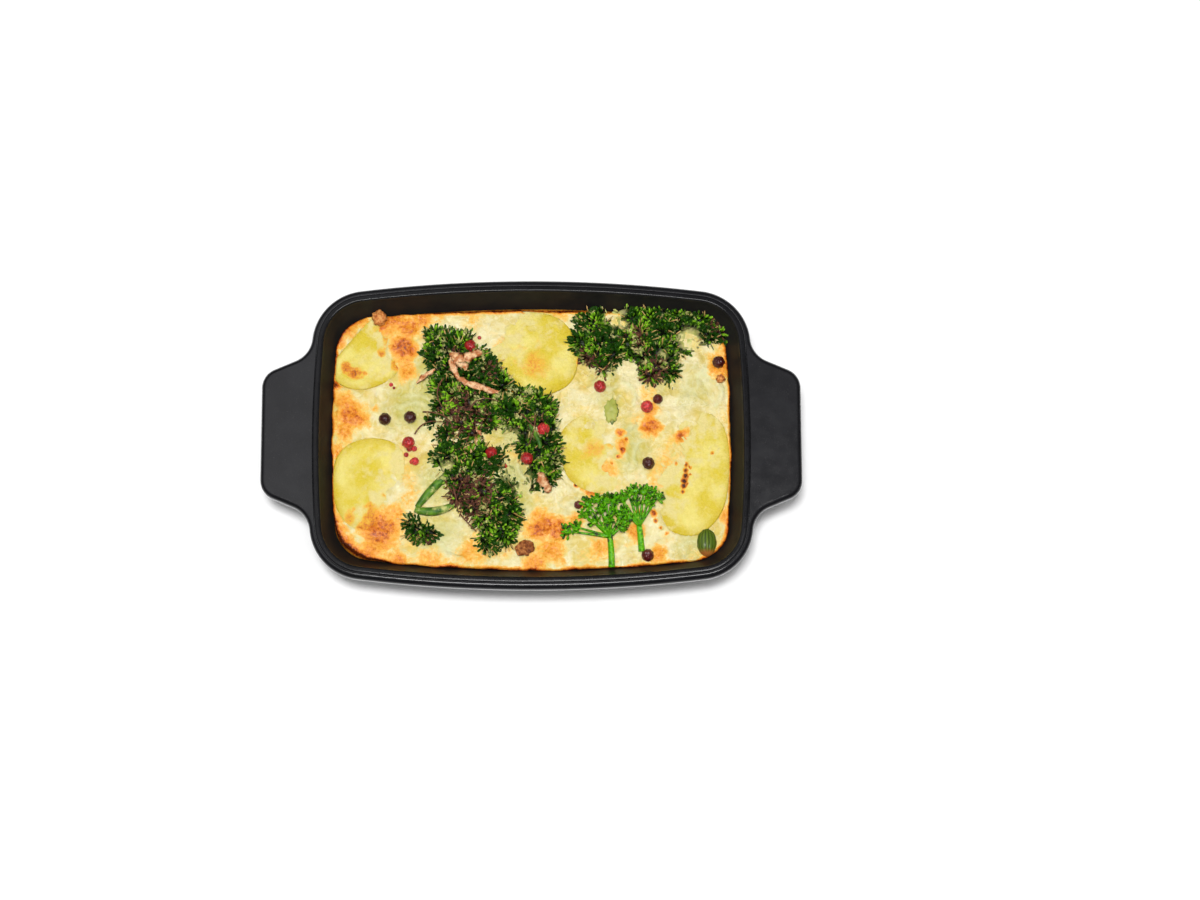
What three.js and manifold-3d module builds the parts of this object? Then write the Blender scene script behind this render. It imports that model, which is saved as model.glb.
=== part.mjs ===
// Rectangular stoneware baking dish with a tab handle at each end, filled with a potato and broccoli gratin.
// Millimetres. +Z is up, +X runs along the dish through both handles, and +Y is towards its back.
// The origin is under the middle of the dish, on the surface that it stands on.
import * as THREE from "three";
import { mergeVertices } from "three/addons/utils/BufferGeometryUtils.js";
import Module from "manifold-3d";

const wasm = await Module();
wasm.setup();

// Dish: the vessel
const HEIGHT = 52; // from the foot to the crest of the rim
const MOUTH_LENGTH = 188.6; // inside, at the crest
const MOUTH_WIDTH = 128.6;
const MOUTH_CORNER = 19.2; // corner radius in plan
const LONG_SIDE_BOW = 625; // the sides are shallow arcs of these radii
const SHORT_SIDE_BOW = 540;
const FLOOR_LENGTH = 160; // inside, where the wall would meet the floor without its fillet
const FLOOR_WIDTH = 101;
const FLOOR_CORNER = 13;
const FLOOR_FILLET = 9; // inside, between wall and floor
const FLOOR_THICKNESS = 6; // from the table to the inside floor
const WALL = 5;
const FOOT_INSET = 4; // from the outside wall in to the foot
const FOOT_WIDTH = 7;
const FOOT_HEIGHT = 1.2; // depth of the recess inside the foot

// Dish: the rim, a raised crest with a flange outside it that widens into the handles
const CREST_WIDTH = 2.8;
const CREST_HEIGHT = 1.6; // above the flange
const CREST_ROUND = 1;
const FLANGE_THICKNESS = 7;
const FLANGE_ROUND = 2.2; // edge radius of the flange and the handles
const FLANGE_FLAT = 0.3; // flat strip between that edge and the crest on the long sides

// Dish: the handles
const HANDLE_REACH = 20.4; // from the rim to the handle's end
const HANDLE_END = 41.6; // straight part of the handle's outer edge
const HANDLE_CORNER = 9;
const HANDLE_FLANK_DEGREES = 23; // slope of the handle's sides
const HANDLE_ROOT = 12; // hollow radius where the handle's side meets the rim

// Gratin: the custard and what lies in it
const FILL_DEPTH = 33; // of the custard above the inside floor, at the wall
const CROWN = 1.5; // how much higher the custard is in the middle
const SWELL = 0.7; // height of the waves in its top
const CLEARANCE = 0.3; // between a piece and what it lies in
const RESTING_GAP = 0.5; // between a loose piece and what it lies on
const SLICE_REACH = 22; // a potato slice's half length; its table gives shares of this
const SLICE_THICKNESS = 4;
const SLICE_PROUD = 0.9; // how far a potato slice stands out of the custard
const TUFT_REACH = 6; // half width of a tuft of broccoli; the heads' table gives shares of this
const HEAD_HEIGHT = 5.5; // of a tuft with that reach above the custard
const CORE_SHARE = 0.8; // size of the core of a head against its tufts
const HEAD_SINK = 1.5; // of a head's flat underside below the custard at the wall
const STALK_RADIUS = 2;
const STALK_ON_HEAD = HEAD_HEIGHT - STALK_RADIUS / 2; // above the custard, for one that lies on a head
const SPRIG_RADIUS = 1.5;
const SPRIG_CROWN_REACH = 9;
const SPRIG_CROWN_HEIGHT = 3.2;
const BUD_REACH = 6.4; // half length of the sprout bud
const BUD_HEIGHT = 3;
const LEAF_REACH = 6; // half length of the piece of leaf
const LEAF_HEIGHT = 1.6;
const PEPPERCORN_RADIUS = 2.5;
const PEPPERCORN_NESTED = HEAD_HEIGHT - 1.3 * PEPPERCORN_RADIUS; // above the custard, in a broccoli head
const CRISP_WIDTH = 3.2; // of a shred of fried onion
const CRISP_THICKNESS = 0.8;
const CRUMB_RADIUS = 2;

// Numbers of facets
const ARC_STEPS = 4;
const CORNER_STEPS = 6;
const ROUND_STEPS = 2; // on an edge radius
const FILLET_STEPS = 3;
const SLICE_POINTS = 18;
const CLUMP_STEPS = 2;
const TUFT_STEPS = 1;
const TUBE_SIDES = 8;
const TUBE_STEPS = 6;
const TOP_CELLS = [9, 6]; // along and across the custard's top

const LEDGE = FLANGE_ROUND + FLANGE_FLAT; // how far the flange stands out past the crest on the long sides
const LEDGE_Z = HEIGHT - CREST_HEIGHT;
const FLANGE_Z = LEDGE_Z - FLANGE_THICKNESS;
const QUARTER_TURN = Math.PI / 2;
const radians = THREE.MathUtils.degToRad;
const lerp = THREE.MathUtils.lerp;

// Outlines in plan

// Where two circles meet, on the side with the larger x.
function circlesMeet(c1, r1, c2, r2) {
  const between = c2.clone().sub(c1);
  const gap = between.length();
  const along = (gap * gap + r1 * r1 - r2 * r2) / (2 * gap);
  const across = Math.sqrt(r1 * r1 - along * along);
  const unit = between.divideScalar(gap);
  const foot = c1.clone().addScaledVector(unit, along);
  const normal = new THREE.Vector2(-unit.y, unit.x).multiplyScalar(across);
  const [p, q] = [foot.clone().add(normal), foot.clone().sub(normal)];
  return p.x > q.x ? p : q;
}

// The arcs of a quarter of a rectangle with bowed sides and round corners, clockwise from the middle of a
// long side.
function quarterArcs({ length, width, corner, longBow, shortBow }) {
  const long = { centre: new THREE.Vector2(0, width / 2 - longBow), radius: longBow };
  const short = { centre: new THREE.Vector2(length / 2 - shortBow, 0), radius: shortBow };
  const middle = circlesMeet(long.centre, longBow - corner, short.centre, shortBow - corner);
  const round = { centre: middle, radius: corner };
  long.from = QUARTER_TURN;
  long.to = round.from = middle.clone().sub(long.centre).angle();
  round.to = short.from = middle.clone().sub(short.centre).angle();
  short.to = 0;
  return { long, round, short };
}

function addArc(path, { centre, radius }, from, to, clockwise = true) {
  path.absarc(centre.x, centre.y, radius, from, to, clockwise);
}

function quarterPath(size) {
  const path = new THREE.Path();
  for (const arc of Object.values(quarterArcs(size))) addArc(path, arc, arc.from, arc.to);
  return path;
}

// The same rectangle, larger all round by an offset.
function grown(size, offset) {
  return {
    length: size.length + 2 * offset,
    width: size.width + 2 * offset,
    corner: size.corner + offset,
    longBow: size.longBow + offset,
    shortBow: size.shortBow + offset,
  };
}

const MOUTH = {
  length: MOUTH_LENGTH,
  width: MOUTH_WIDTH,
  corner: MOUTH_CORNER,
  longBow: LONG_SIDE_BOW,
  shortBow: SHORT_SIDE_BOW,
};
const FLOOR = { ...MOUTH, length: FLOOR_LENGTH, width: FLOOR_WIDTH, corner: FLOOR_CORNER };
const RIM = grown(MOUTH, CREST_WIDTH + LEDGE);

// A quarter of the flange, as points: the rim, then the hollow at the handle's root, its sloping side, its
// round corner and half of its end.
function flangeQuarter() {
  const { long, round, short } = quarterArcs(RIM);
  const flankNormal = QUARTER_TURN - radians(HANDLE_FLANK_DEGREES);
  const outwards = new THREE.Vector2(Math.cos(flankNormal), Math.sin(flankNormal));
  const inwards = new THREE.Vector2(-outwards.y, outwards.x);
  const endX = RIM.length / 2 + HANDLE_REACH;
  const cornerCentre = new THREE.Vector2(endX - HANDLE_CORNER, HANDLE_END / 2);
  const handleCorner = { centre: cornerCentre, radius: HANDLE_CORNER };
  const flankEnd = handleCorner.centre.clone().addScaledVector(outwards, HANDLE_CORNER);
  // The root's centre is its own radius off the sloping side, and off the rim's corner or its short side.
  const rootAgainst = (arc) => {
    const start = flankEnd.clone().addScaledVector(outwards, HANDLE_ROOT);
    const towards = arc.centre.clone().sub(start);
    const along = towards.dot(inwards);
    const reach = arc.radius + HANDLE_ROOT;
    const off = towards.lengthSq() - along * along;
    const centre = start.addScaledVector(inwards, along - Math.sqrt(reach * reach - off));
    return { centre, radius: HANDLE_ROOT, meets: centre.clone().sub(arc.centre).angle() };
  };
  const onCorner = rootAgainst(round);
  const leaves = onCorner.meets >= round.to && onCorner.meets <= round.from ? round : short;
  const root = leaves === round ? onCorner : rootAgainst(short);

  const shared = new THREE.Path();
  addArc(shared, long, long.from, long.to);
  addArc(shared, round, round.from, leaves === round ? root.meets : round.to);
  if (leaves === short) addArc(shared, short, short.from, root.meets);
  const handle = new THREE.Path();
  addArc(handle, root, root.meets + Math.PI, flankNormal + Math.PI, false);
  handle.lineTo(flankEnd.x, flankEnd.y);
  addArc(handle, handleCorner, flankNormal, 0);
  handle.lineTo(endX, 0);

  const sharedLong = shared.curves[0].getLength() / shared.getLength();
  const points = [];
  for (let i = 0; i < ARC_STEPS; i++) points.push(shared.getPoint((sharedLong * i) / ARC_STEPS));
  for (let i = 0; i < CORNER_STEPS; i++) points.push(shared.getPoint(lerp(sharedLong, 1, i / CORNER_STEPS)));
  const pieces = handle.curves.filter((curve) => curve.getLength() > 0);
  for (const curve of pieces) {
    const steps = curve.isEllipseCurve ? ARC_STEPS : 2;
    for (let i = 0; i < steps; i++) points.push(curve.getPointAt(i / steps));
  }
  points.push(new THREE.Vector2(endX, 0));
  return points;
}

// Each point of the flange's quarter stands beside one point of the rim's. This gives its share of the way.
function stationsAlongRim(points) {
  const rim = quarterPath(RIM);
  return points.map((point, i) => {
    if (i === 0) return 0;
    let [low, high] = [0, 1];
    for (let step = 0; step < 40; step++) {
      const middle = (low + high) / 2;
      if (rim.getPoint(middle).y > point.y) low = middle;
      else high = middle;
    }
    return low;
  });
}

// Four quarters in one ring, anticlockwise seen from above, from the end of the handle at +X.
function ringOf(quarter) {
  const back = quarter.slice(1, -1);
  const mirrored = (points, sx, sy) => points.map((p) => new THREE.Vector2(sx * p.x, sy * p.y));
  const [top, end] = [quarter[0], quarter[quarter.length - 1]];
  return [
    end,
    ...back.toReversed(),
    top,
    ...mirrored(back, -1, 1),
    ...mirrored([end], -1, 1),
    ...mirrored(back.toReversed(), -1, -1),
    ...mirrored([top], 1, -1),
    ...mirrored(back, 1, -1),
  ];
}

// A ring moved outwards along its own normals.
function offsetRing(ring, offset) {
  return ring.map((point, i) => {
    const along = ring[(i + 1) % ring.length].clone().sub(ring.at(i - 1)).normalize();
    return new THREE.Vector2(point.x + along.y * offset, point.y - along.x * offset);
  });
}

const FLANGE_QUARTER = flangeQuarter();
const FLANGE_RING = ringOf(FLANGE_QUARTER);
const STATIONS = stationsAlongRim(FLANGE_QUARTER);

// A ring round a bowed rectangle whose points stand beside the flange's.
function rectangleRing(size) {
  const path = quarterPath(size);
  return ringOf(STATIONS.map((share) => path.getPoint(share)));
}

// The inside of the dish at a height, with the fillet at its floor.
function cavitySize(z) {
  const share = (z - FLOOR_THICKNESS) / (HEIGHT - FLOOR_THICKNESS);
  const rise = Math.min(1, (z - FLOOR_THICKNESS) / FLOOR_FILLET);
  const hollow = FLOOR_FILLET * (1 - Math.sqrt(1 - (1 - rise) ** 2));
  const keys = Object.keys(MOUTH);
  const straight = Object.fromEntries(keys.map((key) => [key, lerp(FLOOR[key], MOUTH[key], share)]));
  return grown(straight, -hollow);
}

// Heights of the rings inside the dish: up the fillet from the floor, then the top of the wall.
const CAVITY_HEIGHTS = [];
for (let i = 0; i <= FILLET_STEPS; i++) {
  CAVITY_HEIGHTS.push(FLOOR_THICKNESS + FLOOR_FILLET * (1 - Math.cos((QUARTER_TURN * i) / FILLET_STEPS)));
}
CAVITY_HEIGHTS.push(HEIGHT - CREST_ROUND);

// Solids

const atHeight = (ring, z) => ring.map((p) => new THREE.Vector3(p.x, p.y, z));

// A closed surface through rings of equally many points, its first and last ring closed to their middles.
function loft(rings) {
  const count = rings[0].length;
  const middle = (ring) => ring.reduce((sum, p) => sum.add(p), new THREE.Vector3()).divideScalar(count);
  const points = [...rings.flat(), middle(rings[0]), middle(rings.at(-1))];
  const [firstMiddle, lastMiddle] = [points.length - 2, points.length - 1];
  const index = [];
  for (let i = 0; i < count; i++) {
    const next = (i + 1) % count;
    index.push(firstMiddle, next, i);
    for (let k = 0; k < rings.length - 1; k++) {
      const [a, b, c, d] = [k * count + i, k * count + next, (k + 1) * count + next, (k + 1) * count + i];
      index.push(a, b, c, a, c, d);
    }
    const last = (rings.length - 1) * count;
    index.push(lastMiddle, last + i, last + next);
  }
  return new THREE.BufferGeometry().setFromPoints(points).setIndex(index);
}

function asSolid(geometry) {
  const bare = geometry.clone();
  for (const name of Object.keys(bare.attributes)) if (name !== "position") bare.deleteAttribute(name);
  const merged = mergeVertices(bare);
  const mesh = new wasm.Mesh({
    numProp: 3,
    vertProperties: new Float32Array(merged.attributes.position.array),
    triVerts: new Uint32Array(merged.index.array),
  });
  return new wasm.Manifold(mesh);
}

function asGeometry(solid) {
  const mesh = solid.getMesh();
  const geometry = new THREE.BufferGeometry();
  geometry.setAttribute("position", new THREE.BufferAttribute(mesh.vertProperties, 3));
  return geometry.setIndex(new THREE.BufferAttribute(mesh.triVerts, 1));
}

// Dish

// The foot, the outside wall, the flange with its handles, the crest and the inside, from the middle of the
// underside to the middle of the inside floor.
function dishGeometry() {
  const sole = grown(FLOOR, WALL - FOOT_INSET);
  const rings = [
    atHeight(rectangleRing(grown(sole, -FOOT_WIDTH - FOOT_HEIGHT)), FOOT_HEIGHT),
    atHeight(rectangleRing(grown(sole, -FOOT_WIDTH)), 0),
    atHeight(rectangleRing(sole), 0),
  ];
  const heel = FLOOR_THICKNESS + FLOOR_FILLET;
  const heelSize = grown(cavitySize(heel), WALL);
  for (let i = 1; i <= FILLET_STEPS; i++) {
    const turn = (QUARTER_TURN * i) / FILLET_STEPS;
    const inset = ((heelSize.length - sole.length) / 2) * (1 - Math.sin(turn));
    rings.push(atHeight(rectangleRing(grown(heelSize, -inset)), heel * (1 - Math.cos(turn))));
  }
  rings.push(atHeight(rectangleRing(grown(cavitySize(FLANGE_Z), WALL)), FLANGE_Z));
  const edge = (turn, z, up) => {
    const inset = FLANGE_ROUND * (1 - Math.cos(turn));
    rings.push(atHeight(offsetRing(FLANGE_RING, -inset), z + up * FLANGE_ROUND * Math.sin(turn)));
  };
  for (let i = ROUND_STEPS; i >= 0; i--) edge((QUARTER_TURN * i) / ROUND_STEPS, FLANGE_Z + FLANGE_ROUND, -1);
  for (let i = 0; i <= ROUND_STEPS; i++) edge((QUARTER_TURN * i) / ROUND_STEPS, LEDGE_Z - FLANGE_ROUND, 1);
  const crest = (offset, z) => rings.push(atHeight(rectangleRing(grown(MOUTH, offset)), z));
  crest(CREST_WIDTH, LEDGE_Z);
  crest(CREST_WIDTH, HEIGHT - CREST_ROUND);
  crest(CREST_WIDTH - CREST_ROUND, HEIGHT);
  crest(CREST_ROUND, HEIGHT);
  for (const z of CAVITY_HEIGHTS.toReversed()) rings.push(atHeight(rectangleRing(cavitySize(z)), z));
  return loft(rings);
}

// Gratin: places are shares of the custard's half length and half width

const FILL_Z = FLOOR_THICKNESS + FILL_DEPTH;
const FILL = grown(cavitySize(FILL_Z), -CLEARANCE);

// Height of the custard's top, crowned and gently waved.
function topAt(x, y) {
  const [u, v] = [(2 * x) / FILL.length, (2 * y) / FILL.width];
  const waves = Math.sin(2.4 * u + 0.7) * Math.cos(2.9 * v - 0.5);
  return FILL_Z + CROWN * (1 - u * u) * (1 - v * v) + SWELL * waves;
}

function placeAt([u, v], above = 0) {
  const [x, y] = [(u * FILL.length) / 2, (v * FILL.width) / 2];
  return new THREE.Vector3(x, y, topAt(x, y) + above);
}

// The space just inside the dish, which every piece of the gratin keeps within.
const insideRing = (z) => atHeight(rectangleRing(grown(cavitySize(z), -CLEARANCE)), z + CLEARANCE);
const INSIDE = asSolid(loft(CAVITY_HEIGHTS.map(insideRing)));

// The block of set custard, shaped by the dish it baked in.
function custardSolid() {
  const block = new THREE.BoxGeometry(FILL.length, FILL.width, FILL_Z, ...TOP_CELLS, 1);
  const position = block.attributes.position;
  for (let i = 0; i < position.count; i++) {
    const [x, y] = [position.getX(i), position.getY(i)];
    position.setZ(i, position.getZ(i) > 0 ? topAt(x, y) : 0);
  }
  return asSolid(block).intersect(INSIDE);
}

// An egg-shaped slice, with its long axis turned from +X, sunk so that it stands a little proud.
function sliceSolid({ at, reach, turn, lean = [0, 0] }, grow) {
  const outline = new THREE.Shape();
  for (let i = 0; i < SLICE_POINTS; i++) {
    const angle = (2 * Math.PI * i) / SLICE_POINTS;
    const egg = 1 + 0.06 * Math.cos(angle) + 0.03 * Math.cos(3 * angle + 1);
    const x = (reach[0] * SLICE_REACH + grow) * egg * Math.cos(angle);
    const y = (reach[1] * SLICE_REACH + grow) * egg * Math.sin(angle);
    if (i === 0) outline.moveTo(x, y);
    else outline.lineTo(x, y);
  }
  const bevel = SLICE_THICKNESS / 5;
  const slab = new THREE.ExtrudeGeometry(outline, {
    depth: SLICE_THICKNESS + 2 * grow - 2 * bevel,
    bevelThickness: bevel,
    bevelSize: bevel,
    bevelOffset: -bevel,
    bevelSegments: 1,
  });
  slab.translate(0, 0, bevel - SLICE_THICKNESS - grow);
  slab.rotateZ(radians(turn));
  slab.rotateX(radians(lean[0]));
  slab.rotateY(radians(lean[1]));
  const place = placeAt(at, SLICE_PROUD);
  return asSolid(slab.translate(place.x, place.y, place.z));
}

// A rounded clump with lobes, half sunk in the custard.
function clumpSolid({ at, size, reach, turn = 0, height, lobes = 5 }, grow) {
  const clump = new THREE.IcosahedronGeometry(1, CLUMP_STEPS);
  const position = clump.attributes.position;
  for (let i = 0; i < position.count; i++) {
    const p = new THREE.Vector3().fromBufferAttribute(position, i);
    const lobe = 1 + 0.07 * Math.cos(lobes * Math.atan2(p.y, p.x)) * (1 - p.z * p.z);
    position.setXYZ(i, p.x * lobe, p.y * lobe, p.z);
  }
  clump.scale(reach[0] * size + grow, reach[1] * size + grow, height + grow);
  clump.rotateZ(radians(turn));
  const place = placeAt(at);
  return asSolid(clump.translate(place.x, place.y, place.z));
}

// A broccoli head: rounded tufts, the wider the higher, on one lower core, sunk a little in the custard.
function headSolid({ tufts }, grow) {
  const rounded = (size) =>
    tufts.map(([u, v, share]) => {
      const tuft = new THREE.IcosahedronGeometry(1, TUFT_STEPS);
      const reach = size * share * TUFT_REACH + grow;
      tuft.scale(reach, reach, size * share * HEAD_HEIGHT + grow);
      const place = placeAt([u, v]);
      return asSolid(tuft.translate(place.x, place.y, place.z));
    });
  const core = wasm.Manifold.hull(rounded(CORE_SHARE));
  return wasm.Manifold.union([core, ...rounded(1)]).trimByPlane([0, 0, 1], FILL_Z - HEAD_SINK - grow);
}

// A straight or bent stalk of even thickness lying along the custard through the places given.
function stalkSolid({ through, radius, above = 0 }, grow) {
  const path = new THREE.CatmullRomCurve3(through.map((at) => placeAt(at, above)));
  const section = new THREE.Shape();
  for (let i = 0; i < TUBE_SIDES; i++) {
    const angle = (2 * Math.PI * i) / TUBE_SIDES;
    const [x, y] = [(radius + grow) * Math.cos(angle), (radius + grow) * Math.sin(angle)];
    if (i === 0) section.moveTo(x, y);
    else section.lineTo(x, y);
  }
  return asSolid(new THREE.ExtrudeGeometry(section, { extrudePath: path, steps: TUBE_STEPS }));
}

// A peppercorn or a crumb: a small rounded grain resting on what is under it.
function grainSolid({ at, radius, above = 0, squash = 1 }, grow) {
  const grain = new THREE.IcosahedronGeometry(radius + grow, 1);
  grain.scale(1, 1, squash);
  const place = placeAt(at, above + radius * squash + RESTING_GAP);
  return asSolid(grain.translate(place.x, place.y, place.z));
}

// A curled shred of fried onion: a flat strip along a bent line.
function crispSolid({ through, above }, grow) {
  const path = new THREE.CatmullRomCurve3(through.map((at, i) => placeAt(at, above[i] * HEAD_HEIGHT)));
  const [half, thin] = [CRISP_WIDTH / 2 + grow, CRISP_THICKNESS / 2 + grow];
  const section = new THREE.Shape();
  section.moveTo(-thin, -half);
  section.lineTo(thin, -half);
  section.lineTo(thin, half);
  section.lineTo(-thin, half);
  return asSolid(new THREE.ExtrudeGeometry(section, { extrudePath: path, steps: TUBE_STEPS }));
}

const finish = (color, roughness) => new THREE.MeshStandardMaterial({ color, roughness, metalness: 0 });
const STONEWARE = finish(0x35363a, 0.3);
const CUSTARD = finish(0xe9d98c, 0.5);
const POTATO = finish(0xe6d75c, 0.45);
const BROCCOLI = finish(0x2f5a1c, 0.6);
const STALK = finish(0x5c8f34, 0.5);
const HERB = finish(0x3f9a2c, 0.5);
const RED_PEPPER = finish(0xb4232b, 0.4);
const DARK_PEPPER = finish(0x4a1a18, 0.5);
const CRISP = finish(0xc98a4b, 0.6);
const CRUMB = finish(0xd6873c, 0.7);

const root = new THREE.Group();
function addMesh(name, geometry, material) {
  const mesh = new THREE.Mesh(geometry, material);
  mesh.name = name;
  root.add(mesh);
}

// Each piece is cut clear of the pieces placed before it, so what lies uppermost is placed first. Where a cut
// leaves a sliver beside the piece, the larger body is the piece.
const placed = [];
function place(name, material, build) {
  let solid = build(0).intersect(INSIDE);
  for (const room of placed) solid = solid.subtract(room);
  const bodies = solid.decompose();
  const largest = bodies.reduce((best, body) => (body.volume() > best.volume() ? body : best));
  addMesh(name, asGeometry(largest), material);
  placed.push(build(CLEARANCE));
}

const PEPPERCORNS = [
  { name: "red_1", material: RED_PEPPER, at: [-0.198, -0.125] },
  { name: "red_2", material: RED_PEPPER, at: [-0.022, -0.171], above: PEPPERCORN_NESTED / 2 },
  { name: "red_3", material: RED_PEPPER, at: [0.06, 0.05], above: PEPPERCORN_NESTED / 2 },
  { name: "red_4", material: RED_PEPPER, at: [0.342, 0.376] },
  { name: "red_5", material: RED_PEPPER, at: [-0.61, -0.045] },
  { name: "red_6", material: RED_PEPPER, at: [0.575, 0.224] },
  { name: "red_7", material: RED_PEPPER, at: [-0.577, -0.186], radius: PEPPERCORN_RADIUS / 1.5 },
  { name: "red_8", material: RED_PEPPER, at: [-0.305, 0.688] },
  { name: "dark_1", material: DARK_PEPPER, at: [-0.729, 0.133] },
  { name: "dark_2", material: DARK_PEPPER, at: [-0.603, 0.148] },
  { name: "dark_3", material: DARK_PEPPER, at: [0.63, 0.282], radius: PEPPERCORN_RADIUS / 1.25 },
  { name: "dark_4", material: DARK_PEPPER, at: [0.58, -0.202] },
  { name: "dark_5", material: DARK_PEPPER, at: [0.935, 0.566] },
  { name: "dark_6", material: DARK_PEPPER, at: [0.574, -0.886] },
  { name: "dark_7", material: DARK_PEPPER, at: [0.231, -0.513], radius: PEPPERCORN_RADIUS / 1.5 },
];
for (const corn of PEPPERCORNS) {
  const grain = { radius: PEPPERCORN_RADIUS, ...corn };
  place(`peppercorn_${corn.name}`, corn.material, (grow) => grainSolid(grain, grow));
}

const CRISPS = [
  { through: [[-0.39, 0.61], [-0.34, 0.57], [-0.25, 0.63]], above: [0.95, 1.1, 0.65] },
  { through: [[-0.35, 0.52], [-0.28, 0.4], [-0.16, 0.33]], above: [0.84, 0.9, 0.98] },
  { through: [[-0.56, 0.42], [-0.51, 0.48], [-0.46, 0.56]], above: [0.36, 0.47, 0.73] },
  { through: [[-0.32, -0.06], [-0.28, -0.02], [-0.26, 0.08]], above: [0.2, 0.25, 0.2] },
  { through: [[0.03, -0.25], [0.07, -0.32], [0.1, -0.4]], above: [0.9, 0.6, 0.25] },
];
CRISPS.forEach((crisp, i) => place(`onion_crisp_${i + 1}`, CRISP, (grow) => crispSolid(crisp, grow)));

const CRUMBS = [
  { at: [-0.76, 0.9], radius: 1.8 * CRUMB_RADIUS, squash: 0.8 },
  { at: [0.945, 0.44], radius: CRUMB_RADIUS },
  { at: [-0.03, -0.835], radius: 2 * CRUMB_RADIUS, squash: 0.6 },
];
CRUMBS.forEach((crumb, i) => place(`toasted_crumb_${i + 1}`, CRUMB, (grow) => grainSolid(crumb, grow)));

const SPRIGS = [
  { name: "left", stem: [[0.38, -0.98], [0.38, -0.86], [0.38, -0.74]], at: [0.335, -0.6], reach: [1, 0.72] },
  { name: "right", stem: [[0.54, -0.82], [0.53, -0.73], [0.52, -0.63]], at: [0.535, -0.49], reach: [1, 0.6] },
];
for (const { name, stem, ...sprig } of SPRIGS) {
  const tube = { through: stem, radius: SPRIG_RADIUS, above: SPRIG_RADIUS + RESTING_GAP };
  const crown = { ...sprig, size: SPRIG_CROWN_REACH, height: SPRIG_CROWN_HEIGHT };
  place(`sprig_stem_${name}`, HERB, (grow) => stalkSolid(tube, grow));
  place(`sprig_crown_${name}`, HERB, (grow) => clumpSolid(crown, grow));
}

const BUD = { at: [0.865, -0.79], size: BUD_REACH, reach: [0.7, 1], height: BUD_HEIGHT };
const LEAF = { at: [0.4, 0.19], size: LEAF_REACH, reach: [0.5, 1], turn: 25, height: LEAF_HEIGHT };
place("sprout_bud", HERB, (grow) => clumpSolid(BUD, grow));
place("green_leaf", STALK, (grow) => clumpSolid(LEAF, grow));

const STALKS = [
  { name: "front_left_1", through: [[-0.565, -0.4], [-0.51, -0.27], [-0.43, -0.16]], above: 1 },
  { name: "front_left_2", through: [[-0.57, -0.5], [-0.47, -0.5], [-0.37, -0.42]], above: 1 },
  { name: "centre", through: [[0.045, -0.12], [0.03, 0.02], [0.0, 0.12]], above: STALK_ON_HEAD },
];
for (const stalk of STALKS) {
  const tube = { ...stalk, radius: STALK_RADIUS };
  place(`broccoli_stalk_${stalk.name}`, STALK, (grow) => stalkSolid(tube, grow));
}

const HEADS = [
  { name: "back_right_1", tufts: [
    [0.256, 0.726, 0.90], [0.286, 0.848, 0.98], [0.352, 0.901, 0.83], [0.357, 0.726, 0.98],
    [0.296, 0.627, 0.83], [0.413, 0.802, 0.90], [0.413, 0.643, 0.98], [0.372, 0.529, 0.68],
  ] },
  { name: "back_right_2", tufts: [
    [0.488, 0.932, 0.98], [0.574, 0.985, 0.90], [0.655, 0.970, 0.90], [0.554, 0.833, 1.13],
    [0.483, 0.719, 0.98], [0.630, 0.795, 1.05], [0.554, 0.643, 1.05], [0.655, 0.627, 0.98],
    [0.594, 0.498, 0.90], [0.690, 0.506, 0.75],
  ] },
  { name: "back_right_3", tufts: [
    [0.756, 0.947, 0.90], [0.837, 0.939, 0.83], [0.908, 0.894, 0.83], [0.958, 0.795, 0.60],
    [0.802, 0.825, 0.83], [0.877, 0.772, 0.68], [0.751, 0.696, 0.75],
  ] },
  { name: "centre_1", tufts: [
    [-0.481, 0.757, 0.75], [-0.491, 0.635, 0.75], [-0.451, 0.529, 0.75], [-0.401, 0.665, 0.83],
    [-0.340, 0.719, 0.83],
  ] },
  { name: "centre_2", tufts: [
    [-0.269, 0.597, 0.90], [-0.214, 0.498, 0.90], [-0.153, 0.399, 0.83], [-0.269, 0.414, 0.98],
    [-0.340, 0.544, 0.90],
  ] },
  { name: "centre_3", tufts: [
    [-0.436, 0.376, 0.90], [-0.365, 0.285, 0.98], [-0.305, 0.209, 0.98], [-0.431, 0.232, 0.83],
    [-0.234, 0.285, 0.90], [-0.345, 0.118, 0.90],
  ] },
  { name: "centre_4", tufts: [
    [-0.047, 0.293, 0.83], [0.024, 0.270, 0.83], [0.074, 0.209, 0.75], [-0.108, 0.209, 0.90],
    [-0.017, 0.156, 0.90], [0.049, 0.057, 0.83], [0.094, -0.065, 0.75], [0.105, -0.179, 0.75],
    [0.079, -0.300, 0.75], [0.024, -0.217, 0.68],
  ] },
  { name: "centre_5", tufts: [
    [-0.436, -0.163, 0.90], [-0.360, -0.224, 0.98], [-0.289, -0.293, 1.05], [-0.350, -0.414, 0.98],
    [-0.239, -0.399, 1.05], [-0.284, -0.513, 0.90],
  ] },
  { name: "centre_6", tufts: [
    [-0.168, -0.490, 0.98], [-0.209, -0.620, 1.05], [-0.143, -0.719, 0.90], [-0.209, -0.779, 0.83],
    [-0.108, -0.605, 0.75], [-0.097, -0.430, 0.68],
  ] },
  { name: "front_left", tufts: [
    [-0.592, -0.635, 0.53], [-0.577, -0.734, 0.53], [-0.527, -0.757, 0.45], [-0.481, -0.734, 0.38],
  ] },
];
for (const head of HEADS) place(`broccoli_head_${head.name}`, BROCCOLI, (grow) => headSolid(head, grow));

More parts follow.
